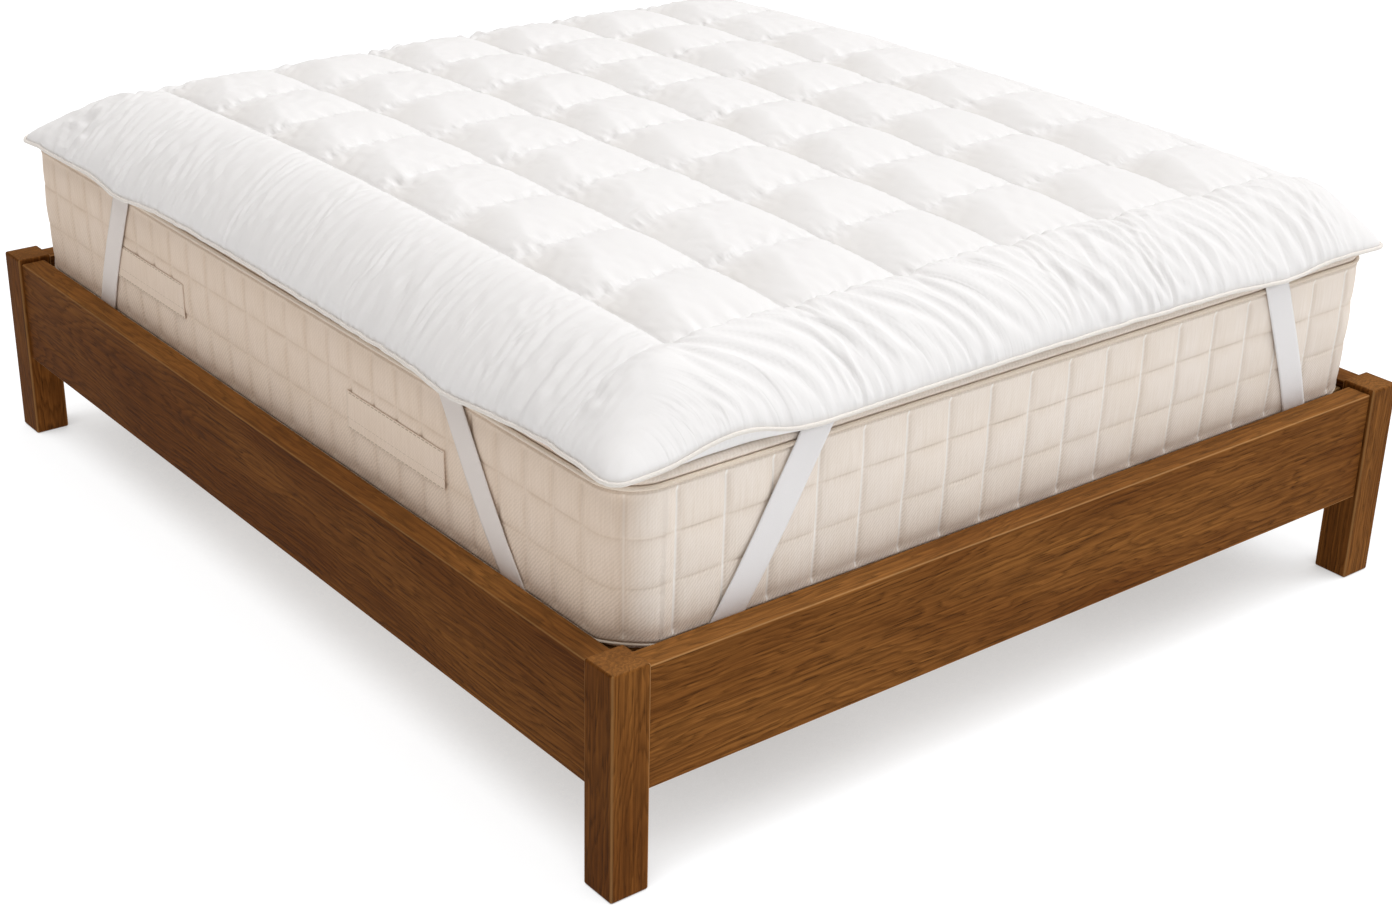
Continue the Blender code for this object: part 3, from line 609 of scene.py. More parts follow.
def cloth_slack(x, y, sizes):
    """How much more cloth there is than room for it: growth along X and Y, and two shears.

    The borders are gathered on to the piping, so their cloth is wider than they are by
    the border's slack, more in some patches than in others.  On the ends it has been
    dragged sideways, by cos(w pi / 2) of the way w out, and on the sides the slack
    grows with w.  The boxes have a little, and more within 3 cm of a cross seam.
    """
    way_x = np.maximum((SEAM_LEFT - x) / BORDER_LEFT, (x - SEAM_RIGHT) / (EDGE_RIGHT - SEAM_RIGHT))
    way_y = np.maximum((SEAM_FOOT - y) / BORDER_FOOT, (y - SEAM_HEAD) / (EDGE_HEAD - SEAM_HEAD))
    way_x, way_y = np.clip(way_x, 0, 1), np.clip(way_y, 0, 1)
    on_side, on_end = np.clip(way_x / 0.15, 0, 1), np.clip(way_y / 0.2, 0, 1)
    patchy = 1 + 0.95 * lattice_noise(x / 0.12, y / 0.15, 92)
    other = 1 + 0.75 * lattice_noise(x / 0.15, y / 0.11, 93)
    outer = np.clip((way_x - 0.12) / 0.6, 0, 1)
    fuller = np.where(y < 0, 0.5 + 0.5 * np.clip((x + 0.52) / 0.2, 0, 1), 0.8)
    into_row = (y - SEAM_FOOT) / BOX_LENGTH
    to_cross = BOX_LENGTH * np.abs(into_row - np.round(into_row))
    in_field = (1 - on_side) * (1 - on_end)
    puckered = sizes.pucker_slack * (1 + 0.6 * other) * np.exp(-to_cross / 0.018) * in_field
    calm = sizes.box_slack * (1 + 0.6 * patchy)
    grow_x = calm + (sizes.border_slack * patchy * fuller - calm) * on_end + puckered
    grow_y = calm + (0.95 * sizes.border_slack * other - calm) * outer
    calm_tip = 1 - 0.92 * bump(np.hypot(1 - way_x, 1 - way_y), 0.70)
    grow_x, grow_y = grow_x * calm_tip, grow_y * calm_tip
    drag = np.where(y < 0, 0.34 - 0.12 * (x + 0.6), -0.25)
    drag = drag * (1 + 0.6 * lattice_noise(x / 0.07, y / 0.16, 94))
    shear_x = drag * np.cos(math.pi / 2 * way_y) * on_end * (1 - on_side)
    shear_y = np.where(x < 0, -0.03, 0.10) * way_x * on_side * (1 - on_end)
    return np.stack((grow_x, grow_y, shear_x, shear_y), -1)


def cloth_lengths(base, slack, near, far):
    """The cloth between pairs of grid points: their way apart, grown and sheared by its slack."""
    way = base[far] - base[near]
    grow_x, grow_y, shear_x, shear_y = np.moveaxis((slack[far] + slack[near]) / 2, -1, 0)
    steep = np.linalg.norm(way, axis=-1) / (np.hypot(way[..., 0], way[..., 1]) + 1e-12)
    across, along = way[..., 0] * steep, way[..., 1] * steep
    return np.hypot(across * (1 + grow_x) + shear_x * along, along * (1 + grow_y) + shear_y * across)


def pull(points, free, near, far, length, strength):
    """Move pairs of points towards their length apart, each by its share of freedom."""
    way = points[far] - points[near]
    apart = np.sqrt((way * way).sum(-1)) + 1e-9
    loose = free[near] + free[far] + 1e-9
    step = (strength * (apart - length) / apart / loose)[..., None] * way
    points[near] += free[near][..., None] * step
    points[far] -= free[far][..., None] * step


def settle(base, start, slack, free, steps):
    """Let slack cloth find its own creases between its seams.

    In each step every pair of points one cell apart, along the grid and across its
    squares, is pulled towards its length of cloth, and pairs two cells apart a little,
    which is the cloth's stiffness.  The filling lifts the cloth along its normal and
    draws it back towards the filled shape.  Last, each point moves a third of the way
    to the mean of its neighbours.
    """
    columns, rows = base.shape[:2]
    pairs = []
    # the way from each point to its other, how many sets the pairs are split into so that
    # no two pairs of a set share a point, and the strength of the pull
    ways = (((1, 0), 2, 1.0), ((0, 1), 2, 1.0), ((1, 1), 2, 0.5), ((1, -1), 2, 0.5),
            ((2, 0), 4, 0.07), ((0, 2), 4, 0.07))
    for (right, up), stride, strength in ways:
        for first in range(stride):
            if right:
                near = np.s_[first:columns - right:stride, max(0, -up):rows - max(0, up)]
                far = np.s_[first + right:columns:stride, max(0, up):rows - max(0, -up)]
            else:
                near, far = np.s_[:, first:rows - up:stride], np.s_[:, first + up:rows:stride]
            length = cloth_lengths(base, slack, near, far).astype(np.float32)
            pairs.append((near, far, length, strength))
    points, base, free = (np.array(values, dtype=np.float32) for values in (start, base, free))
    inner = np.s_[1:-1, 1:-1]
    for _ in range(steps):
        for near, far, length, strength in pairs:
            pull(points, free, near, far, length, strength)
        normal = np.cross(points[2:, 1:-1] - points[:-2, 1:-1], points[1:-1, 2:] - points[1:-1, :-2])
        normal /= np.sqrt((normal * normal).sum(-1, keepdims=True)) + 1e-12
        points[inner] += FILLING_LIFT * free[inner][..., None] * normal
        points += free[..., None] * FILLING_HOLD * (base - points)
    around = points[2:, 1:-1] + points[:-2, 1:-1] + points[1:-1, 2:] + points[1:-1, :-2]
    points[inner] += free[inner][..., None] / 3 * (around / 4 - points[inner])
    return points.astype(float)


def sewn_points(columns, rows):
    """How freely each grid point moves.

    Not at all on the edge, the lengthwise seams and the two outermost cross seams, and
    a little on the other cross seams.
    """
    free = np.ones((columns, rows))
    across = CELLS_BORDER["left"] + CELLS_ACROSS * np.arange(BOX_COLUMNS + 1)
    along = CELLS_BORDER["foot"] + CELLS_ALONG * np.arange(BOX_ROWS + 1)
    free[across[0]:across[-1] + 1, along] = CROSS_SEAM_FREEDOM
    free[across, along[0]:along[-1] + 1] = 0.0
    free[across[0]:across[-1] + 1, along[[0, -1]]] = 0.0
    free[[0, -1]] = 0.0
    free[:, [0, -1]] = 0.0
    return free


def rim_walk(columns, rows):
    """Numbers of the grid's outline points, anticlockwise seen from above."""
    foot = np.arange(columns - 1) * rows
    right = (columns - 1) * rows + np.arange(rows - 1)
    head = np.arange(columns - 1, 0, -1) * rows + rows - 1
    left = np.arange(rows - 1, 0, -1)
    return np.concatenate((foot, right, head, left))


def sew_topper(sizes, cotton, piping_cotton):
    """The filled topper with its rounded lower skin, and the piping round its edge.

    The lower skin runs in by run (1 - cos a) and down by drop sin a, a quarter turn,
    and closes in a fan at the middle of the underside.
    """
    points, attributes = topper_surface(sizes)
    columns, rows = points.shape[:2]
    flat = points.reshape(-1, 3)
    walk = rim_walk(columns, rows)
    rim = flat[walk]
    rings = [rim + np.array((0.0, 0.0, -EDGE_THICKNESS))]
    for angle in np.linspace(0, math.pi / 2, UNDERSIDE_RINGS)[1:]:
        ring = moved_out(rings[0], -UNDERSIDE_RUN * (1 - math.cos(angle)))
        ring[:, 2] -= (rings[0][:, 2] - UNDERSIDE) * math.sin(angle)
        rings.append(ring)
    middle = np.array([[0.0, 0.0, UNDERSIDE]])
    everything = np.concatenate((flat, *rings, middle))
    faces = [grid_faces(columns, rows)]
    count = len(walk)
    here, after = np.arange(count), (np.arange(count) + 1) % count
    numbers = [walk] + [len(flat) + step * count + here for step in range(len(rings))]
    for upper, lower in zip(numbers, numbers[1:]):
        faces.append(np.stack((upper[after], upper[here], lower[here], lower[after]), -1))
    last = numbers[-1]
    faces.append(np.stack((last[after], last[here], np.full(count, len(everything) - 1)), -1))
    for key, values in attributes.items():
        values = values.reshape(-1, 3)
        tail = np.tile(values[walk], (len(rings), 1))
        attributes[key] = np.concatenate((values, tail, values[:1] * 0 + 1.0))
    topper = add_surface("topper_cloth", everything, faces, cotton, attributes)
    seam_path = rim + np.array((0.0, 0.0, -EDGE_THICKNESS / 2))
    cord_path = moved_out(seam_path, PIPING_RADIUS * 0.9)
    piping = round_cord("topper_piping_cord", cord_path, PIPING_RADIUS, piping_cotton)
    return topper, piping


# ---------------------------------------------------------------- mattress
def mattress_outline():
    """Points once round the mattress's full outline: plan place, outward way, run, quilt count.

    The count grows by one from each upright stitch line to the next.  Each place is
    found from its run: straight along a side, or round a corner's quarter circle.
    """
    half = np.array((MATTRESS_WIDTH / 2 - MATTRESS_CORNER, MATTRESS_LENGTH / 2 - MATTRESS_CORNER))
    # anticlockwise from the foot's left end, each side with the corner after it
    corners = np.array(((-1, -1), (1, -1), (1, 1), (-1, 1)))
    normals = np.array(((0, -1), (1, 0), (0, 1), (-1, 0)), float)
    arc = MATTRESS_CORNER * math.pi / 2
    runs, counts = [0.0], [0.0]
    for side, pitch in enumerate((END_PITCH, SIDE_PITCH, END_PITCH, SIDE_PITCH)):
        length = 2 * half[side % 2]
        runs += [runs[-1] + length, runs[-1] + length + arc]
        counts += [counts[-1] + length / pitch, counts[-1] + length / pitch + arc / CORNER_PITCH]
    runs, counts = np.array(runs), np.array(counts)
    total = round(counts[-1])
    counts = counts * total / counts[-1] + FIRST_LINE
    whole, part = np.meshgrid(np.arange(total), crowded(PILLOW_CELLS, PILLOW_CROWDING), indexing="ij")
    count = (whole + part).ravel()
    run = np.interp(np.where(count < FIRST_LINE, count + total, count), counts, runs)
    stage = np.clip(np.searchsorted(runs, run, side="right") - 1, 0, 7)
    side, turning = stage // 2, stage % 2 == 1
    share = (run - runs[stage]) / (runs[stage + 1] - runs[stage])
    angle = np.arctan2(normals[side, 1], normals[side, 0]) + np.where(turning, share, 0) * math.pi / 2
    outward = np.column_stack((np.cos(angle), np.sin(angle)))
    start, end = corners[side] * half, corners[(side + 1) % 4] * half
    centre = np.where(turning[:, None], end, start + share[:, None] * (end - start))
    return np.column_stack((centre + outward * MATTRESS_CORNER, outward, run, count))


def quilted_side(run, count, height, outward, depth):
    """How far the quilted side stands out: pillows between the stitch lines, and slack.

    Also each point's way to the nearest upright line and row of stitches, and how far
    it faces an end of the bed, from 0.75 to 1.
    """
    edges = np.array((ROW_BOTTOM, STITCH_ROWS[1], STITCH_ROWS[0], ROW_TOP))
    row = np.clip(np.searchsorted(edges, height, side="right") - 1, 0, 2)
    part = np.clip((height - edges[row]) / (edges[row + 1] - edges[row]), 0, 1)
    across = count - np.floor(count)
    strength = 0.75 + 0.25 * np.abs(outward[..., 1]) ** 2
    vary = lattice_noise(np.floor(count), row, 81)
    pillow = (0.95 + 0.20 * vary) * puff(across, 0.30) * (0.40 + 0.60 * puff(part, 0.30)) - 1.0
    inside = (height > ROW_BOTTOM) & (height < ROW_TOP)
    tall = np.clip((ROW_TOP - height) / 0.012, 0, 1) * np.clip((height - ROW_BOTTOM) / 0.010, 0, 1)
    soft = lattice_noise(run / 0.09, height / 0.07, 82) + 0.6 * lattice_noise(run / 0.04, height / 0.03, 83)
    puckers = lattice_noise(run / 0.012, height / 0.05, 84) * bump(np.minimum(part, 1 - part), 0.16)
    out = depth * strength * pillow + 0.0007 * soft + 0.0004 * puckers
    # above and below the rows no upright line is near
    to_line = np.where(inside, np.minimum(across, 1 - across) * END_PITCH, 0.03)
    row_gap = np.minimum(np.abs(height - STITCH_ROWS[0]), np.abs(height - STITCH_ROWS[1]))
    return np.where(inside, out * tall, 0.0), to_line, row_gap, strength


def corner_rise(outline):
    """How far the lower tape rises: its most at a corner's middle, as 2 |n_x n_y| of the outward way."""
    return CORNER_RISE * 2 * np.abs(outline[:, 2] * outline[:, 3])


def upholster_mattress(sizes, ticking, piping_ticking):
    """The mattress: its outline carried up its profile, closed above and below, and its piping."""
    outline = mattress_outline()
    profile = np.array(MATTRESS_PROFILE)
    levels = profile[:, 0]
    rows = np.array((GRID_BOTTOM, STITCH_ROWS[1], STITCH_ROWS[0], GRID_TOP))
    part = crowded(ROW_CELLS, PILLOW_CROWDING)
    middle = [low + part * (high - low) for low, high in zip(rows, rows[1:])]
    heights = np.concatenate((levels[levels < GRID_BOTTOM], *middle, levels[levels > GRID_TOP]))
    inset = np.interp(heights, levels, profile[:, 1])
    shape = (len(outline), len(heights))
    run = np.broadcast_to(outline[:, None, 4], shape)
    count = np.broadcast_to(outline[:, None, 5], shape)
    height = np.broadcast_to(heights[None, :], shape)
    outward = np.broadcast_to(outline[:, None, 2:4], (*shape, 2))
    out, to_line, row_gap, strength = quilted_side(run, count, height, outward, sizes.pillow_depth)
    # the webbing handles press the cloth under them flat
    for _, sign, low, high in HANDLES:
        along = outline[:, 1]
        beside = (along > low - PRESSED_MARGIN) & (along < high + PRESSED_MARGIN)
        beside &= sign * outline[:, 0] > 0
        level = (heights > HANDLE_LOW - PRESSED_MARGIN) & (heights < HANDLE_HIGH + PRESSED_MARGIN)
        pressed = np.minimum(out, inset[None, :] - PRESSED_DEPTH)
        out = np.where(beside[:, None] & level[None, :], pressed, out)
    plan = outline[:, None, 0:2] + outward * (out - inset[None, :])[..., None]
    lifted = height + corner_rise(outline)[:, None] * np.interp(heights, RISE_HEIGHTS, RISE_SHARES)
    points = np.concatenate((plan, lifted[..., None]), -1).reshape(-1, 3)
    # Z, how far a point faces an end, also sets the ticking's painted shade on the long sides and its
    # thread's painted highlight on the ends
    cloth = np.stack((run, height, strength), -1).reshape(-1, 3)
    seam = np.stack((to_line, row_gap, 0 * run), -1).reshape(-1, 3)
    columns, rows = shape
    caps = np.array([[0.0, 0.0, MATTRESS_BOTTOM], [0.0, 0.0, MATTRESS_TOP]])
    low, high = np.arange(columns) * rows, np.arange(columns) * rows + rows - 1
    base, crown = len(points), len(points) + 1
    faces = [
        grid_faces(columns, rows, wrap=True),
        np.stack((np.roll(low, -1), low, np.full(columns, base)), -1),
        np.stack((high, np.roll(high, -1), np.full(columns, crown)), -1),
    ]
    points = np.concatenate((points, caps))
    middles = np.array([[0.0, MATTRESS_BOTTOM, 0.3], [0.0, MATTRESS_TOP, 0.3]])
    attributes = {"cloth": np.concatenate((cloth, middles)), "seam": np.concatenate((seam, middles * 0 + 1))}
    mattress = add_surface("mattress_cover", points, faces, ticking, attributes)
    cords = []
    for name, level, inward, radius in MATTRESS_CORDS:
        lifted = level + corner_rise(outline) * (level < STITCH_ROWS[1])
        path = np.column_stack((outline[:, :2] - outline[:, 2:4] * inward, lifted))
        cords.append(round_cord(name + "_cord", path, radius, piping_ticking))
    return mattress, cords


def strip_of_cloth(name, middle, across, width, thickness, normal, material, cells=12, marks=None):
    """A flat strip: a thin rounded section carried along a line of middle points.

    A section point is middle + across (w/2) u + normal (t/2) v, where (u, v) walks
    once round the strip's flattened outline.
    """
    share = np.linspace(-1, 1, cells + 1)
    # the strip thins over the outer 3.5 hundredths of its half width
    edge = 1 - np.maximum(0, (np.abs(share) - 0.965) / 0.035) * 0.55
    u = np.concatenate((share, share[::-1]))
    v = np.concatenate((edge, -edge[::-1]))
    run = run_along(middle)
    side = np.asarray(width).reshape(-1, 1, 1) / 2 * u[None, :, None] * across[:, None, :]
    points = middle[:, None, :] + side + thickness / 2 * v[None, :, None] * normal[:, None, :]
    first, last = end_rings(len(middle), len(u))
    faces = [grid_faces(len(middle), len(u), rings=True), first, last[:, ::-1]]
    # Z is how far the strip faces sideways; the elastic draws its painted shade by it
    cloth = np.stack(np.broadcast_arrays(run[:, None], u[None, :] * 0.5, np.abs(normal[:, :1])), -1)
    attributes = {"cloth": cloth.reshape(-1, 3)} if marks is None else marks(points, u)
    return add_surface(name, points.reshape(-1, 3), faces, material, attributes)


# ---------------------------------------------------------------- bands
def edge_height(side, along):
    """The height of the topper's edge at a place along a side."""
    edge = {"left": EDGE_LEFT, "right": EDGE_RIGHT, "foot": EDGE_FOOT, "head": EDGE_HEAD}[side]
    x, y = (edge, along) if side in ("left", "right") else (along, edge)
    return EDGE_HEIGHT + edge_shift(side, np.array([x]), np.array([y]))[2, 0]


def band_leg(half_size, top, bottom, top_height):
    """Rows down one leg of a band: how far out it lies, its middle along the side, its height."""
    heights = np.array([top_height] + [row[0] for row in BAND_PROFILE])
    inset = np.array([BAND_PROFILE[0][1]] + [row[1] for row in BAND_PROFILE])
    lean = (MATTRESS_TOP - heights) / (MATTRESS_TOP - MATTRESS_BOTTOM)
    rows = np.column_stack((half_size - inset, top + (bottom - top) * lean, heights))
    upper = np.linspace(top_height, BAND_EVEN_LOW, BAND_EVEN_ROWS)
    fine = np.column_stack([np.interp(upper, rows[::-1, 2][2:], rows[::-1, k][2:]) for k in (0, 1, 2)])
    return np.concatenate((fine, rows[rows[:, 2] < BAND_EVEN_LOW]))


def stretch_band(name, x_sign, y_sign, end_top, end_bottom, side_top, side_bottom, elastic):
    """One elastic band: down the end, flat under the mattress's corner, and up the side."""
    end_side, long_side = ("foot" if y_sign < 0 else "head"), ("left" if x_sign < 0 else "right")
    end_height = edge_height(end_side, x_sign * end_top) - EDGE_THICKNESS - BAND_GAP
    side_height = edge_height(long_side, y_sign * side_top) - EDGE_THICKNESS - BAND_GAP
    end = band_leg(MATTRESS_LENGTH / 2, end_top, end_bottom, end_height)
    side = band_leg(MATTRESS_WIDTH / 2, side_top, side_bottom, side_height)[::-1]
    end_line = np.column_stack((x_sign * end[:, 1], y_sign * end[:, 0], end[:, 2]))
    side_line = np.column_stack((x_sign * side[:, 0], y_sign * side[:, 1], side[:, 2]))
    middle = np.concatenate((end_line, side_line))
    slope_end = math.atan2(end_bottom - end_top, MATTRESS_TOP - MATTRESS_BOTTOM)
    slope_side = math.atan2(side_bottom - side_top, MATTRESS_TOP - MATTRESS_BOTTOM)
    across = np.concatenate((
        np.tile((x_sign, 0.0, 0.0), (len(end_line), 1)),
        np.tile((0.0, y_sign, 0.0), (len(side_line), 1)),
    )).astype(float)
    width = np.concatenate((
        np.full(len(end_line), BAND_WIDTH / math.cos(slope_end)),
        np.full(len(side_line), BAND_WIDTH / math.cos(slope_side)),
    ))
    along = np.gradient(middle, axis=0)
    normal = np.cross(along, across)
    normal /= np.linalg.norm(normal, axis=1, keepdims=True)
    band = strip_of_cloth(name + "_elastic", middle, across, width, BAND_THICKNESS, normal, elastic)
    return band, float(steps_of(middle).sum())


# ---------------------------------------------------------------- boards
def eased_board(name, low, high, ease, material, seed):
    """A board with rounded edges: a rounded section carried along its longest side.

    Near each end the section draws in along a quarter circle, so that all twelve
    edges are eased.  The grain holds the place along, across and through the board;
    the second attribute holds how light it is drawn, as wear with a painted highlight
    round the long edges and painted light on top, and how much darker it is drawn as
    painted shade on the faces towards the left.
    """
    low, high = np.array(low, float), np.array(high, float)
    size = high - low
    axis = int(np.argmax(size))
    first, second = [(1, 2), (2, 0), (0, 1)][axis]
    quarter = np.linspace(0, math.pi / 2, 5)
    ends = ease * (1 - np.cos(quarter)), ease * (1 - np.sin(quarter))
    stops = np.concatenate((ends[0], size[axis] - ends[0][::-1]))
    draw = np.minimum(np.concatenate((ends[1], ends[1][::-1])), 0.92 * ease)
    half = np.array((size[first], size[second])) / 2
    angles = np.concatenate([quarter + corner * math.pi / 2 for corner in range(4)])
    signs = np.repeat([(1, 1), (-1, 1), (-1, -1), (1, -1)], len(quarter), axis=0)
    centre = signs * (half - ease)
    ring_out = np.column_stack((np.cos(angles), np.sin(angles)))
    section = centre[None] + ring_out[None] * (ease - draw)[:, None, None]
    points = np.zeros((len(stops), len(angles), 3))
    points[..., axis] = (low[axis] + stops)[:, None]
    points[..., first] = low[first] + half[0] + section[..., 0]
    points[..., second] = low[second] + half[1] + section[..., 1]
    columns, rows = points.shape[:2]
    # a face's first corner sets how a bent face is split in two
    faces = np.roll(grid_faces(columns, rows, rings=True), -1, axis=1)
    first_end, last_end = end_rings(columns, rows)
    row = np.tile(np.arange(rows), columns - 1)
    rounded = np.append(row % len(quarter) != len(quarter) - 1, (False, False))
    flat = points.reshape(-1, 3)
    across, through = (first, second) if size[first] >= size[second] else (second, first)
    middle = (low + high) / 2
    grain = np.column_stack([flat[:, way] - middle[way] for way in (axis, across, through)])
    dice = np.random.default_rng(seed)
    grain = grain + (dice.uniform(-3, 3), dice.uniform(-0.03, 0.03), dice.uniform(0.05, 0.08))
    # wear with a painted highlight round the long edges, wear at the ends, painted light on the top faces
    edge_wear_and_light = np.tile(EDGE_WEAR_AND_HIGHLIGHT, (columns, 4))
    edge_wear_and_light[[0, -1]] = END_WEAR
    on_top = flat[:, 2] > high[2] - 0.2 * ease
    edge_wear_and_light = np.maximum(edge_wear_and_light.ravel(), np.where(on_top, TOP_LIGHT, 0.0))
    # painted shade on the faces towards the left
    left_shade = np.where(flat[:, 0] < low[0] + 0.8 * ease, LEFT_SHADE, 0.0)
    attributes = {"grain": grain, "wear_light_and_shade": np.column_stack((edge_wear_and_light, left_shade, 0 * left_shade))}
    return add_surface(name, flat, [faces, first_end[:, ::-1], last_end], material, attributes, rounded)


# ---------------------------------------------------------------- nodes
def set_inputs(tree, node, **inputs):
    """Set a node's inputs, or link those whose value is a socket.

    An input is named by its socket, with _ for a space, or i and its number.
    """
    for name, value in inputs.items():
        key = int(name[1:]) if name[0] == "i" and name[1:].isdigit() else name.replace("_", " ")
        socket = node.inputs[key]
        if isinstance(value, bpy.types.NodeSocket):
            tree.links.new(value, socket)
        else:
            socket.default_value = value


def add_node(tree, kind, settings=None, **inputs):
    """Add a node: settings are its own values, inputs are values or sockets to link."""
    node = tree.nodes.new(kind)
    for name, value in (settings or {}).items():
        setattr(node, name, value)
    set_inputs(tree, node, **inputs)
    return node


def new_material(name):
    """A material with its tree and its Principled shader."""
    material = bpy.data.materials.new(name)
    material.use_nodes = True
    tree = material.node_tree
    return material, tree, tree.nodes["Principled BSDF"]


def attribute(tree, name):
    """The socket of a piece's own attribute."""
    return add_node(tree, "ShaderNodeAttribute", {"attribute_name": name}).outputs["Vector"]


def object_place(tree):
    """The socket of the place in the piece's own coordinates."""
    return add_node(tree, "ShaderNodeTexCoord").outputs["Object"]


def split(tree, vector):
    """The sockets of a vector's three parts."""
    return tuple(add_node(tree, "ShaderNodeSeparateXYZ", Vector=vector).outputs)


def calculate(tree, operation, *values):
    """The socket of a sum, a product or another operation on numbers or sockets."""
    inputs = {f"i{place}": value for place, value in enumerate(values)}
    return add_node(tree, "ShaderNodeMath", {"operation": operation}, **inputs).outputs[0]


def ranged(tree, value, low, high, at_low, at_high):
    """The socket of a value that goes evenly from at_low to at_high as another goes from low to high."""
    ends = {"i1": low, "i2": high, "i3": at_low, "i4": at_high}
    return add_node(tree, "ShaderNodeMapRange", Value=value, **ends).outputs[0]


def mixed(tree, share, one, other, blend="MIX"):
    """The socket of one colour blended with another by a share; each is a colour or a socket."""
    one, other = (c if isinstance(c, bpy.types.NodeSocket) else (*c, 1.0) for c in (one, other))
    settings = {"data_type": "RGBA", "blend_type": blend}
    return add_node(tree, "ShaderNodeMix", settings, i0=share, i6=one, i7=other).outputs[2]


def ramp(tree, share, *stops):
    """The socket of a colour ramp, from a place and a colour for each stop."""
    node = add_node(tree, "ShaderNodeValToRGB", Fac=share)
    elements = node.color_ramp.elements
    while len(elements) < len(stops):
        elements.new(0.5)
    for element, (place, colour) in zip(elements, stops):
        element.position = place
        element.color = (*colour, 1.0)
    return node.outputs[0]


def scaled(tree, place, scale, turn=0.0):
    """The socket of a place scaled along each axis, then turned about Z."""
    turned = (0.0, 0.0, turn)
    return add_node(tree, "ShaderNodeMapping", Vector=place, Rotation=turned, Scale=scale).outputs[0]


def noise(tree, place, detail, scale=1.0, flat=False, **inputs):
    """The socket of noise at a place, in X and Y only if it is flat."""
    settings = {"noise_dimensions": "2D" if flat else "3D"}
    return add_node(tree, "ShaderNodeTexNoise", settings, Vector=place, Scale=scale, Detail=detail,
                    **inputs).outputs[0]


def bands(tree, place, direction, scale, **inputs):
    """The socket of soft bands across a direction."""
    settings = {"wave_type": "BANDS", "bands_direction": direction}
    return add_node(tree, "ShaderNodeTexWave", settings, Vector=place, Scale=scale, **inputs).outputs["Fac"]


def raised(tree, height, strength, distance, sunk=False, **start):
    """The socket of a normal tilted by a height, or by a depth; start is a normal to begin with."""
    return add_node(tree, "ShaderNodeBump", {"invert": sunk}, Height=height, Strength=strength,
                    Distance=distance, **start).outputs[0]


# ---------------------------------------------------------------- materials
def cotton_percale(colours):
    """Bleached cotton percale over down: matt, dense and fine, with a soft sheen.

    The eye sees small crinkles, gathers that fan from the seams, and a painted shade
    that greys the slack flank beside each lengthwise seam; the thread itself, about
    0.3 mm, is drawn at 1.1 mm.
    """
    material, tree, shader = new_material("cotton_percale")
    cloth, gather, seam = (attribute(tree, name) for name in ("cloth", "gather", "seam"))
    spot = object_place(tree)
    _, along, _ = split(tree, cloth)
    _, way, strength = split(tree, gather)
    # seam Z is the painted shade of the slack flank beside each lengthwise seam
    to_long, to_cross, slack = split(tree, seam)
    # creases and gathers of the borders: valleys of |noise - 1/2| in the border's own coordinates
    layers = []
    for lines, ways, twist in ((36.0, 1.5, 0.6), (82.0, 3.2, 0.5)):
        wavy = noise(tree, scaled(tree, gather, (lines, ways, 0.0)), 1.5, flat=True, Roughness=0.45,
                     Distortion=twist)
        layers.append(calculate(tree, "ABSOLUTE", calculate(tree, "SUBTRACT", wavy, 0.5)))
    coarse = calculate(tree, "MULTIPLY", layers[0], ranged(tree, way, 0.0, 0.07, 0.3, 1.6))
    fine = calculate(tree, "MULTIPLY", layers[1], ranged(tree, way, 0.25, 0.95, 0.12, 0.75))
    gathered = calculate(tree, "MULTIPLY", calculate(tree, "ADD", coarse, fine), strength)
    # crinkles all over, the largest about 26 mm
    crinkle = noise(tree, spot, 4.0, 38.0, Roughness=0.55, Distortion=0.9)
    # puckers beside the cross seams
    pucker = noise(tree, scaled(tree, cloth, (120.0, 28.0, 0.0)), 1.5, flat=True)
    puckered = calculate(tree, "MULTIPLY", pucker, ranged(tree, to_cross, 0.0, 0.022, 1.0, 0.0))
    # thread: a plain weave drawn at 1.1 mm
    weave = add_node(tree, "ShaderNodeTexChecker", Vector=scaled(tree, cloth, (900.0, 900.0, 0.0)), Scale=1.0)
    normal = raised(tree, gathered, 0.60, 0.0028)
    normal = raised(tree, puckered, 0.8, 0.0026, Normal=normal)
    normal = raised(tree, crinkle, 0.14, 0.0022, Normal=normal)
    normal = raised(tree, weave.outputs["Fac"], 0.10, 0.0002, Normal=normal)
    # stitches, 3.2 mm on and 2 mm off, sunk in the lengthwise channels
    turn = calculate(tree, "FRACT", calculate(tree, "MULTIPLY", along, 192.0))
    stitched = calculate(tree, "MULTIPLY", calculate(tree, "LESS_THAN", to_long, 0.0009),
                         calculate(tree, "LESS_THAN", turn, 0.62))
    # cloth colour: whiter in patches, and painted shade on the slack flank beside each lengthwise seam
    crown = mixed(tree, noise(tree, spot, 3.0, 5.0), colours.cotton_shade, colours.cotton)
    base = mixed(tree, slack, crown, colours.cotton_painted_shade)
    set_inputs(tree, shader, Base_Color=mixed(tree, stitched, base, colours.thread), Normal=normal,
               Roughness=0.82, IOR=1.45, Sheen_Weight=0.12, Sheen_Roughness=0.5)
    return material


def cotton_piping(name, colour, shade):
    """Bias-cut cotton over a cord: matt, with the weave's slant and small tucks showing."""
    material, tree, shader = new_material(name)
    slanted = scaled(tree, attribute(tree, "cloth"), (260.0, 700.0, 0.0), turn=0.78)
    weave = noise(tree, slanted, 2.0, flat=True)
    set_inputs(tree, shader, Base_Color=mixed(tree, weave, shade, colour),
               Normal=raised(tree, weave, 0.35, 0.0006), Roughness=0.85, IOR=1.45)
    return material


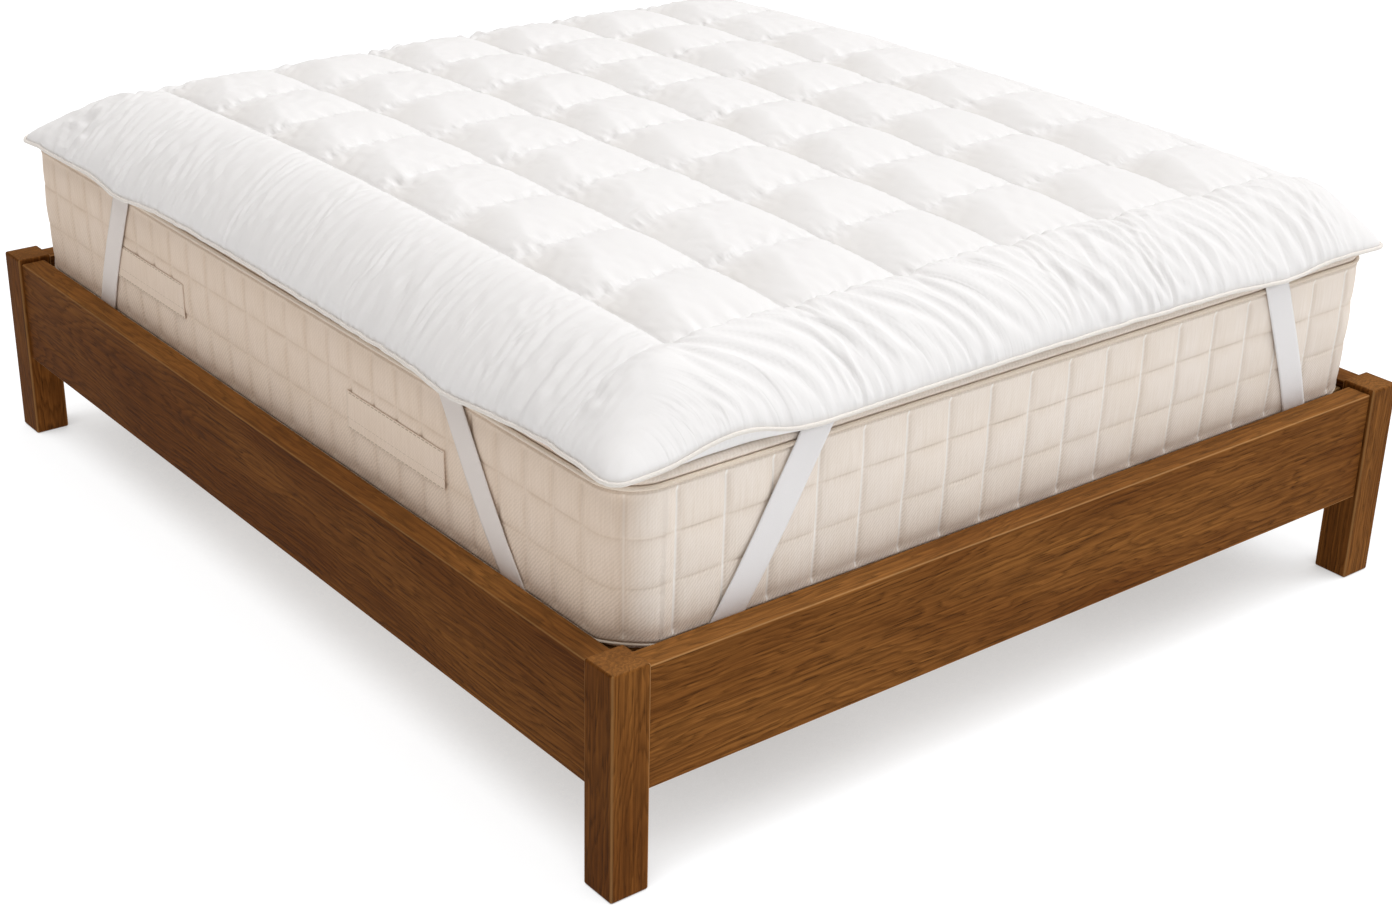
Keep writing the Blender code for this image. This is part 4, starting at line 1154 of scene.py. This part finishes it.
def cotton_ticking(colours):
    """Unbleached cotton-linen ticking, twill woven: matt, warm, with upright slubs.

    The slubs are 1 to 4 mm wide; the slanted twill, about 1 mm, is drawn at 4.8 mm
    so that it shows, and most in the lowest row.
    """
    material, tree, shader = new_material("cotton_linen_ticking")
    cloth, seam = attribute(tree, "cloth"), attribute(tree, "seam")
    run, height, facing_end = split(tree, cloth)
    to_line, to_row, to_stitch = split(tree, seam)
    slubs = noise(tree, scaled(tree, cloth, (420.0, 14.0, 0.0)), 3.0, flat=True, Roughness=0.6)
    slanted = scaled(tree, cloth, (420.0, 420.0, 0.0), turn=0.72)
    twill = bands(tree, slanted, "X", 0.157, Distortion=3.5, Detail=2.0, Detail_Scale=2.0)
    twill = calculate(tree, "MULTIPLY", twill, ranged(tree, height, 0.36, 0.52, 1.0, 0.25))
    patch = noise(tree, cloth, 3.0, 9.0, flat=True)
    tone = mixed(tree, patch, colours.ticking_warm, colours.ticking)
    tone = mixed(tree, ranged(tree, slubs, 0.36, 0.66, 0.0, 1.0), tone, (0.945, 0.93, 0.91), "MULTIPLY")
    tone = mixed(tree, twill, tone, (0.80, 0.78, 0.76), "MULTIPLY")
    # the stitch lines: paler thread pulled tight, painted shade just beside each line, and a fainter painted
    # shade up to 17 mm from the lines
    lines = calculate(tree, "MINIMUM", calculate(tree, "ADD", to_line, 0.003), to_row)
    beside = ranged(tree, lines, 0.0008, 0.0045, 0.52, 0.0)
    sunk = ranged(tree, calculate(tree, "MINIMUM", to_line, to_row), 0.001, 0.017, 0.32, 0.0)
    tone = mixed(tree, calculate(tree, "MAXIMUM", sunk, beside), tone, (0.86, 0.82, 0.77), "MULTIPLY")
    # the upright lines' paler thread is drawn much paler on the ends than on the sides: thread colour with a
    # painted highlight
    pale_thread_and_highlight = ranged(tree, to_line, 0.0008, 0.0026, 1.0, 0.0)
    on_end = ranged(tree, facing_end, 0.75, 1.0, 0.25, 0.95)
    tone = mixed(tree, calculate(tree, "MULTIPLY", pale_thread_and_highlight, on_end), tone, colours.ticking_thread)
    # painted shade: the long sides are drawn warmer and darker, to match the photograph's darker left side
    side_shade = ranged(tree, facing_end, 0.85, 0.995, 1.0, 0.0)
    tone = mixed(tree, side_shade, tone, (0.875, 0.80, 0.73), "MULTIPLY")
    # the handles' brown stitches, 8 mm long and drawn 2.2 mm wide; seam Z is 1 and the way from their line
    on_line = calculate(tree, "COMPARE", calculate(tree, "SUBTRACT", to_stitch, 1.0), 0.0, 0.0011)
    turns = calculate(tree, "MULTIPLY", calculate(tree, "ADD", run, height), 90.0)
    dash = calculate(tree, "LESS_THAN", calculate(tree, "FRACT", turns), 0.72)
    tone = mixed(tree, calculate(tree, "MULTIPLY", on_line, dash), tone, colours.handle_thread)
    normal = raised(tree, calculate(tree, "ADD", slubs, twill), 0.5, 0.0006)
    set_inputs(tree, shader, Base_Color=tone, Normal=normal, Roughness=0.88, IOR=1.45, Sheen_Weight=0.05)
    return material


def woven_elastic(colours):
    """White knitted elastic, ribbed along its length: satin, smooth and a little cool.

    The ribs are about 1 mm apart.
    """
    material, tree, shader = new_material("ribbed_elastic")
    cloth = attribute(tree, "cloth")
    ribs = bands(tree, scaled(tree, cloth, (14.0, 113.0, 0.0)), "Y", 0.157, Distortion=0.4)
    knit = noise(tree, scaled(tree, cloth, (600.0, 30.0, 0.0)), 2.0, flat=True)
    both = calculate(tree, "ADD", ribs, knit)
    tone = mixed(tree, both, colours.elastic_shade, colours.elastic)
    # painted shade: the legs on the long sides are drawn warmer and darker, to match the photograph's darker
    # left side
    side_shade = calculate(tree, "MULTIPLY", split(tree, cloth)[2], 0.9)
    tone = mixed(tree, side_shade, tone, (0.85, 0.785, 0.73), "MULTIPLY")
    set_inputs(tree, shader, Base_Color=tone, Normal=raised(tree, both, 0.35, 0.0005), Roughness=0.62,
               IOR=1.48, Sheen_Weight=0.08)
    return material


def stained_oak(colours):
    """Plain-sawn oak, stained and oiled: cathedral figure, dark open pores, little gloss.

    The growth rings are 9.5 mm apart about a heart line 50 to 80 mm off the board's middle,
    bent by slow noise.  The pores, about 0.3 mm by 20 mm, are drawn at 1.7 mm by 110 mm so
    that they show, thick in the early wood.
    """
    material, tree, shader = new_material("stained_oak_oiled")
    grain = attribute(tree, "grain")
    # the second attribute holds how light the wood is drawn, as wear with painted highlight and painted
    # light, and how much darker, as painted shade
    rubbed_and_lit, left_shade, _ = split(tree, attribute(tree, "wear_light_and_shade"))
    # the way from the heart line, with a slow wander that makes the cathedral arches
    flat = add_node(tree, "ShaderNodeVectorMath", {"operation": "MULTIPLY"}, i0=grain, i1=(0.0, 1.0, 1.0))
    away = add_node(tree, "ShaderNodeVectorMath", {"operation": "LENGTH"}, i0=flat.outputs[0])
    wander = noise(tree, scaled(tree, grain, (1.5, 5.0, 5.0)), 2.0, Roughness=0.4)
    waver = noise(tree, scaled(tree, grain, (11.0, 70.0, 70.0)), 3.0)
    bent = calculate(tree, "MULTIPLY_ADD", wander, 0.20, away.outputs["Value"])
    bent = calculate(tree, "MULTIPLY_ADD", waver, 0.030, bent)
    ring = calculate(tree, "FRACT", calculate(tree, "MULTIPLY", bent, 105.0))
    early = ramp(tree, ring, (0.0, (0.9, 0.9, 0.9)), (0.30, (0.35, 0.35, 0.35)), (0.75, (0.0, 0.0, 0.0)),
                 (1.0, (0.7, 0.7, 0.7)))
    pores = noise(tree, scaled(tree, grain, (9.0, 600.0, 600.0)), 3.0, Roughness=0.6)
    streaks = noise(tree, scaled(tree, grain, (3.4, 240.0, 240.0)), 4.0, Roughness=0.6)
    patch = noise(tree, scaled(tree, grain, (2.4, 8.0, 8.0)), 2.0)
    tone = ramp(tree, streaks, (0.24, colours.oak_dark), (0.50, colours.oak), (0.78, colours.oak_light))
    tone = mixed(tree, calculate(tree, "MULTIPLY", early, 0.78), tone, colours.oak_dark)
    tone = mixed(tree, ranged(tree, patch, 0.36, 0.62, 0.0, 1.0), tone, (0.70, 0.62, 0.55), "MULTIPLY")
    pore_mask = ranged(tree, pores, 0.54, 0.60, 0.0, 1.0)
    pore_dark = calculate(tree, "MULTIPLY", pore_mask, ranged(tree, early, 0.0, 0.8, 0.08, 0.60))
    tone = mixed(tree, pore_dark, tone, colours.oak_pore)
    # rubbed edges drawn lighter as wear with a painted highlight, and top faces as painted light
    tone = mixed(tree, calculate(tree, "MULTIPLY", rubbed_and_lit, 0.50), tone, colours.oak_worn_and_lit)
    # painted shade: the faces towards the left are drawn darker
    tone = mixed(tree, left_shade, tone, (0.66, 0.62, 0.56), "MULTIPLY")
    set_inputs(tree, shader, Base_Color=tone, Normal=raised(tree, pore_dark, 0.35, 0.0005, sunk=True),
               Roughness=ranged(tree, streaks, 0.2, 0.8, 0.52, 0.68), IOR=1.5, Specular_IOR_Level=0.02)
    return material


def planed_pine(name, stretch):
    """Planed pine, oiled and aged: light brown wood with straight, darker late-wood lines."""
    material, tree, shader = new_material(name)
    lengthwise = scaled(tree, object_place(tree), stretch)
    rings = bands(tree, lengthwise, "DIAGONAL", 22.0, Distortion=3.0, Detail=2.0)
    tone = ramp(tree, rings, (0.0, linear("a5804f")), (0.6, linear("95703f")), (1.0, linear("76552c")))
    set_inputs(tree, shader, Base_Color=tone, Normal=raised(tree, rings, 0.15, 0.0004), Roughness=0.62,
               IOR=1.5)
    return material


def glowing_acrylic():
    """A studio floor of opal acrylic that glows white and even, with pale shadows, partly cast by the lamps
    and partly painted.
    """
    material, tree, shader = new_material("opal_acrylic_floor")
    mottle = noise(tree, object_place(tree), 3.0, 2.0)
    # painted shadow: the floor's glow is dimmed by ambient occlusion, the more the closer the bed is
    close = add_node(tree, "ShaderNodeAmbientOcclusion", {"samples": 12}, Distance=0.60)
    set_inputs(tree, shader, Base_Color=mixed(tree, mottle, (0.380, 0.396, 0.412), (0.390, 0.406, 0.422)),
               Roughness=0.9, Specular_IOR_Level=0.0, Emission_Color=(1.0, 1.0, 1.0, 1.0),
               Emission_Strength=ranged(tree, close.outputs["AO"], 0.0, 0.59, 0.27, 0.775))
    return material


# ---------------------------------------------------------------- settings of the add-on
def colour_property(name, description, value):
    """A colour that the user may change, from an sRGB hex value."""
    return bpy.props.FloatVectorProperty(name=name, description=description, subtype="COLOR", size=3,
                                         min=0.0, max=1.0, default=linear(value))


def number_property(name, description, value, **kind):
    """A number that the user may change; kind is its unit or its subtype."""
    return bpy.props.FloatProperty(name=name, description=description, default=value, **kind)


def length_property(name, description, value):
    """A length in metres that the user may change."""
    return number_property(name, description, value, unit="LENGTH")


def share_property(name, description, value):
    """A share that the user may change."""
    return number_property(name, description, value, subtype="FACTOR")


def angle_property(name, description, degrees):
    """An angle that the user may change, from degrees."""
    return number_property(name, description, math.radians(degrees), subtype="ANGLE")


class TopperSizes(bpy.types.PropertyGroup):
    """Sizes of the topper and the mattress that shape their cloth."""
    box_puff: length_property("Box puff", "Height of a box over its channels", 0.023)
    stitch_depth: length_property("Stitch depth", "Depth of a stitched line", 0.0014)
    pucker: length_property("Pucker", "Height of the puckers beside a seam", 0.0011)
    crease_depth: length_property("Crease depth", "Depth of the creases that start the settling", 0.0040)
    border_slack: share_property("Border slack", "Extra cloth along the borders, as a share", 0.125)
    box_slack: share_property("Box slack", "Extra cloth in the boxes, as a share", 0.016)
    pucker_slack: share_property("Pucker slack", "Extra cloth beside the cross seams, as a share", 0.055)
    pillow_depth: length_property("Pillow depth", "Depth of the mattress's quilting", 0.0058)


class TopperColours(bpy.types.PropertyGroup):
    """Colours of the cloths, the elastic and the wood."""
    cotton: colour_property("Cotton", "Paler patches of the topper", "f3f2f2")
    cotton_shade: colour_property("Cotton shade", "Darker patches of the topper", "efeeee")
    # painted shade for the slack flank beside each lengthwise seam
    cotton_painted_shade: colour_property("Slack cotton", "Thin cloth beside the lengthwise seams", "e3e0dd")
    thread: colour_property("Thread", "Sewing thread of the channels", "dcd9d6")
    ticking: colour_property("Ticking", "Cloth of the mattress", "f9f0e8")
    ticking_warm: colour_property("Warm ticking", "Warmer patches of the ticking", "f3e7da")
    # thread of the upright stitches, drawn with a painted highlight on the ends
    ticking_thread: colour_property("Ticking thread", "Thread of the mattress's stitches", "fffaf4")
    handle_thread: colour_property("Handle thread", "Thread of the handles' stitches", "b3a08a")
    elastic: colour_property("Elastic", "Ribs of the bands", "f3f1f1")
    elastic_shade: colour_property("Elastic shade", "Between the ribs of the bands", "e7e5e7")
    oak: colour_property("Oak", "Middle tone of the stained oak", "875628")
    oak_light: colour_property("Light oak", "Light streaks of the stained oak", "a06b34")
    oak_dark: colour_property("Dark oak", "Dark streaks and early wood of the stained oak", "5f3a17")
    oak_pore: colour_property("Oak pore", "Open pores of the oak", "2a1709")
    # the colour of the wear with its painted highlight on the edges, and of the painted light on top
    oak_worn_and_lit: colour_property("Worn oak", "Rubbed edges of the oak", "cf9f69")


class StageSettings(bpy.types.PropertyGroup):
    """Strength and direction of the studio light; azimuths go from the foot towards the right."""
    key_strength: number_property("Key", "Strength of the key light", 1.44)
    key_azimuth: angle_property("Key azimuth", "Where the key light stands round the bed", 70)
    key_height: angle_property("Key height", "Height of the key light over the floor", 52)
    key_softness: angle_property("Softness", "Width of the lights as seen from the bed", 32)
    side_strength: number_property("Side", "Strength of the light on the left", 1.14)
    side_azimuth: angle_property("Side azimuth", "Where the side light stands round the bed", -95)
    side_height: angle_property("Side height", "Height of the side light over the floor", 74)
    fill: number_property("Fill", "Light from all around", 0.37)


# ---------------------------------------------------------------- operators
class TOPPER_OT_quilted_topper(bpy.types.Operator):
    """Sew and fill the quilted topper and put the piping round its edge"""
    bl_idname = "topper.quilted_topper"
    bl_label = "Quilted topper"

    def execute(self, context):
        colours, sizes = context.scene.topper_colours, context.scene.topper_sizes
        cotton = cotton_percale(colours)
        piping_cotton = cotton_piping("bias_cotton_piping", linear("f1ede8"), linear("e2dbd3"))
        topper, piping = sew_topper(sizes, cotton, piping_cotton)
        for piece, node in ((topper, "topper"), (piping, "topper_piping")):
            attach(piece, BODY)
            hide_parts(node)
        return {"FINISHED"}


class TOPPER_OT_mattress(bpy.types.Operator):
    """Upholster the mattress: quilted border and piping, pressed flat where the handles lie"""
    bl_idname = "topper.mattress"
    bl_label = "Mattress"

    def execute(self, context):
        colours, sizes = context.scene.topper_colours, context.scene.topper_sizes
        ticking = cotton_ticking(colours)
        piping_ticking = cotton_piping("bias_ticking_piping", linear("efe3d5"), linear("d9c8b4"))
        mattress, cords = upholster_mattress(sizes, ticking, piping_ticking)
        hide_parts("mattress")
        for cord, (node, *_) in zip(cords, MATTRESS_CORDS):
            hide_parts(node)
        for piece in (mattress, *cords):
            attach(piece, BODY)
        return {"FINISHED"}


def webbing_marks(points, across):
    """A handle's place in the ticking's pattern, and its way from its own lines of stitches."""
    along, height = points[..., 1], points[..., 2]
    cloth = np.stack((along, height, 0 * along + 0.4), -1).reshape(-1, 3)
    to_end = np.minimum(along - along.min(), along.max() - along)
    to_edge = (1 - np.abs(np.broadcast_to(across, along.shape))) * HANDLE_WIDTH / 2
    outline = np.abs(np.minimum(to_end, to_edge) - STITCH_INSET)
    line = np.minimum(outline, np.abs(height - HANDLE_LOW - STITCH_LEVEL))
    # X and Y are kept off zero, where the ticking draws the mattress's own stitches
    seam = np.stack((line + 0.02, line + 0.02, line + 1), -1).reshape(-1, 3)
    return {"cloth": cloth, "seam": seam}


class TOPPER_OT_handles(bpy.types.Operator):
    """Sew the webbing handles on both long sides of the mattress"""
    bl_idname = "topper.handles"
    bl_label = "Handles"

    def execute(self, context):
        ticking = bpy.data.materials["cotton_linen_ticking"]
        for node, sign, low, high in HANDLES:
            along = np.linspace(low, high, HANDLE_STEPS)
            level = np.full(HANDLE_STEPS, (HANDLE_LOW + HANDLE_HIGH) / 2)
            bow = 0.0006 * np.sin(np.linspace(0, math.pi, HANDLE_STEPS)) ** 0.5
            middle = np.column_stack((sign * (MATTRESS_WIDTH / 2 - 0.0004 + bow), along, level))
            across = np.tile((0.0, 0.0, 1.0), (HANDLE_STEPS, 1)) * sign
            normal = np.tile((float(sign), 0.0, 0.0), (HANDLE_STEPS, 1))
            width = np.full(HANDLE_STEPS, HANDLE_WIDTH)
            handle = strip_of_cloth(node + "_webbing", middle, across, width, HANDLE_THICKNESS, normal,
                                    ticking, 24, webbing_marks)
            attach(handle, BODY)
            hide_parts(node)
        return {"FINISHED"}


class TOPPER_OT_bands(bpy.types.Operator):
    """Stretch the four elastic bands from the topper's edge under the mattress's corners"""
    bl_idname = "topper.bands"
    bl_label = "Elastic bands"

    def execute(self, context):
        elastic = woven_elastic(context.scene.topper_colours)
        for node, *placing in BANDS:
            band, length = stretch_band(node, *placing, elastic)
            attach(band, BODY)
            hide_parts(node)
        return {"FINISHED"}


class TOPPER_OT_bed(bpy.types.Operator):
    """Fit the oak posts and rails, and finish the pine slatted base"""
    bl_idname = "topper.bed"
    bl_label = "Bed frame"

    def execute(self, context):
        oak = stained_oak(context.scene.topper_colours)
        boards = [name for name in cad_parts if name.startswith(("post_", "rail_"))]
        for seed, node in enumerate(sorted(boards)):
            low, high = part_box(node)
            ease = POST_EASE if node.startswith("post_") else RAIL_EASE
            board = eased_board(node + "_oak", low, high, ease, oak, seed)
            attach(board, BODY)
            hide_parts(node)
        pine_across = planed_pine("planed_pine_across", (0.06, 1.0, 1.0))
        pine_along = planed_pine("planed_pine_along", (1.0, 0.06, 1.0))
        for node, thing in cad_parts.items():
            if node.startswith(("slat_", "ledger_", "centre_beam")):
                pine = pine_across if node.startswith("slat_") else pine_along
                thing.data.materials.clear()
                thing.data.materials.append(pine)
        return {"FINISHED"}


class TOPPER_OT_stage(bpy.types.Operator):
    """Lay the floor, hang the studio light and set the camera"""
    bl_idname = "topper.stage"
    bl_label = "Studio"

    def execute(self, context):
        scene, settings = context.scene, context.scene.topper_stage
        lines = np.linspace(-FLOOR_REACH, FLOOR_REACH, FLOOR_LINES)
        x, y = np.meshgrid(lines, lines, indexing="ij")
        points = np.stack((x, y, 0 * x - FLOOR_DROP), -1).reshape(-1, 3)
        faces = [grid_faces(FLOOR_LINES, FLOOR_LINES)]
        floor = add_surface("studio_floor", points, faces, glowing_acrylic())
        world = bpy.data.worlds.new("soft_studio")
        world.use_nodes = True
        tree = world.node_tree
        background = tree.nodes["Background"]
        around = add_node(tree, "ShaderNodeTexCoord").outputs["Generated"]
        toward = add_node(tree, "ShaderNodeVectorMath", {"operation": "DOT_PRODUCT"}, i0=around,
                          i1=BRIGHT_SIDE).outputs["Value"]
        level = calculate(tree, "MULTIPLY_ADD", toward, settings.fill, settings.fill)
        side = ranged(tree, toward, -0.4, 0.4, 0.0, 1.0)
        set_inputs(tree, background, Strength=level, Color=mixed(tree, side, DIM_COLOUR, BRIGHT_COLOUR))
        scene.world = world
        hang_softbox("key_light", settings.key_strength, settings.key_softness, settings.key_azimuth,
                     settings.key_height)
        hang_softbox("side_light", settings.side_strength, settings.key_softness,
                     settings.side_azimuth, settings.side_height)
        camera = bpy.data.cameras.new("photograph")
        camera.sensor_width = SENSOR
        camera.lens = FOCAL_PIXELS * SENSOR / IMAGE_WIDTH
        camera.clip_end = CAMERA_FAR
        view = bpy.data.objects.new("photograph", camera)
        scene.collection.objects.link(view)
        view.matrix_world = camera_matrix()
        scene.camera = view
        scene.view_settings.view_transform = "Standard"
        return {"FINISHED"}


def hang_softbox(name, strength, softness, azimuth, height):
    """A far, wide light; its azimuth goes from the foot towards the right."""
    lamp = bpy.data.lights.new(name, "SUN")
    lamp.energy = strength
    lamp.color = LAMP_COLOUR
    lamp.angle = softness
    softbox = bpy.data.objects.new(name, lamp)
    bpy.context.scene.collection.objects.link(softbox)
    out = math.cos(height)
    toward = Vector((out * math.sin(azimuth), -out * math.cos(azimuth), math.sin(height)))
    softbox.rotation_euler = toward.to_track_quat("Z", "Y").to_euler()


def camera_matrix():
    """The camera's place and turn, from its azimuth, elevation and roll."""
    azimuth, elevation, roll = (math.radians(a) for a in (CAMERA_AZIMUTH, CAMERA_ELEVATION, CAMERA_ROLL))
    ahead = np.array((math.sin(azimuth) * math.cos(elevation), math.cos(azimuth) * math.cos(elevation),
                      -math.sin(elevation)))
    level = np.array((math.cos(azimuth), -math.sin(azimuth), 0.0))
    up = np.cross(level, ahead)
    right = math.cos(roll) * level + math.sin(roll) * up
    above = -math.sin(roll) * level + math.cos(roll) * up
    turn = np.eye(4)
    turn[:3, 0], turn[:3, 1], turn[:3, 2], turn[:3, 3] = right, above, -ahead, CAMERA_PLACE
    return Matrix(turn.tolist())


class TOPPER_PT_panel(bpy.types.Panel):
    """The sidebar's list of the topper's pieces"""
    bl_label = "Quilted topper"
    bl_space_type = "VIEW_3D"
    bl_region_type = "UI"
    bl_category = "Topper"

    def draw(self, context):
        for group in ("topper_sizes", "topper_colours", "topper_stage"):
            settings = getattr(context.scene, group)
            for name in settings.__annotations__:
                self.layout.prop(settings, name)
        for operator in OPERATORS:
            self.layout.operator(operator.bl_idname)


OPERATORS = (
    TOPPER_OT_quilted_topper,
    TOPPER_OT_mattress,
    TOPPER_OT_handles,
    TOPPER_OT_bands,
    TOPPER_OT_bed,
    TOPPER_OT_stage,
)
GROUPS = {
    "topper_sizes": TopperSizes,
    "topper_colours": TopperColours,
    "topper_stage": StageSettings,
}


def register():
    """Register the settings, the operators and the panel."""
    for name, group in GROUPS.items():
        bpy.utils.register_class(group)
        setattr(bpy.types.Scene, name, bpy.props.PointerProperty(type=group))
    for thing in (*OPERATORS, TOPPER_PT_panel):
        bpy.utils.register_class(thing)


def unregister():
    """Take the panel, the operators and the settings away again."""
    for thing in (TOPPER_PT_panel, *OPERATORS[::-1]):
        bpy.utils.unregister_class(thing)
    for name, group in GROUPS.items():
        delattr(bpy.types.Scene, name)
        bpy.utils.unregister_class(group)


def main():
    """Register the add-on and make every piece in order."""
    register()
    bpy.ops.topper.quilted_topper()
    bpy.ops.topper.mattress()
    bpy.ops.topper.handles()
    bpy.ops.topper.bands()
    bpy.ops.topper.bed()
    bpy.ops.topper.stage()


if __name__ == "__main__":
    main()
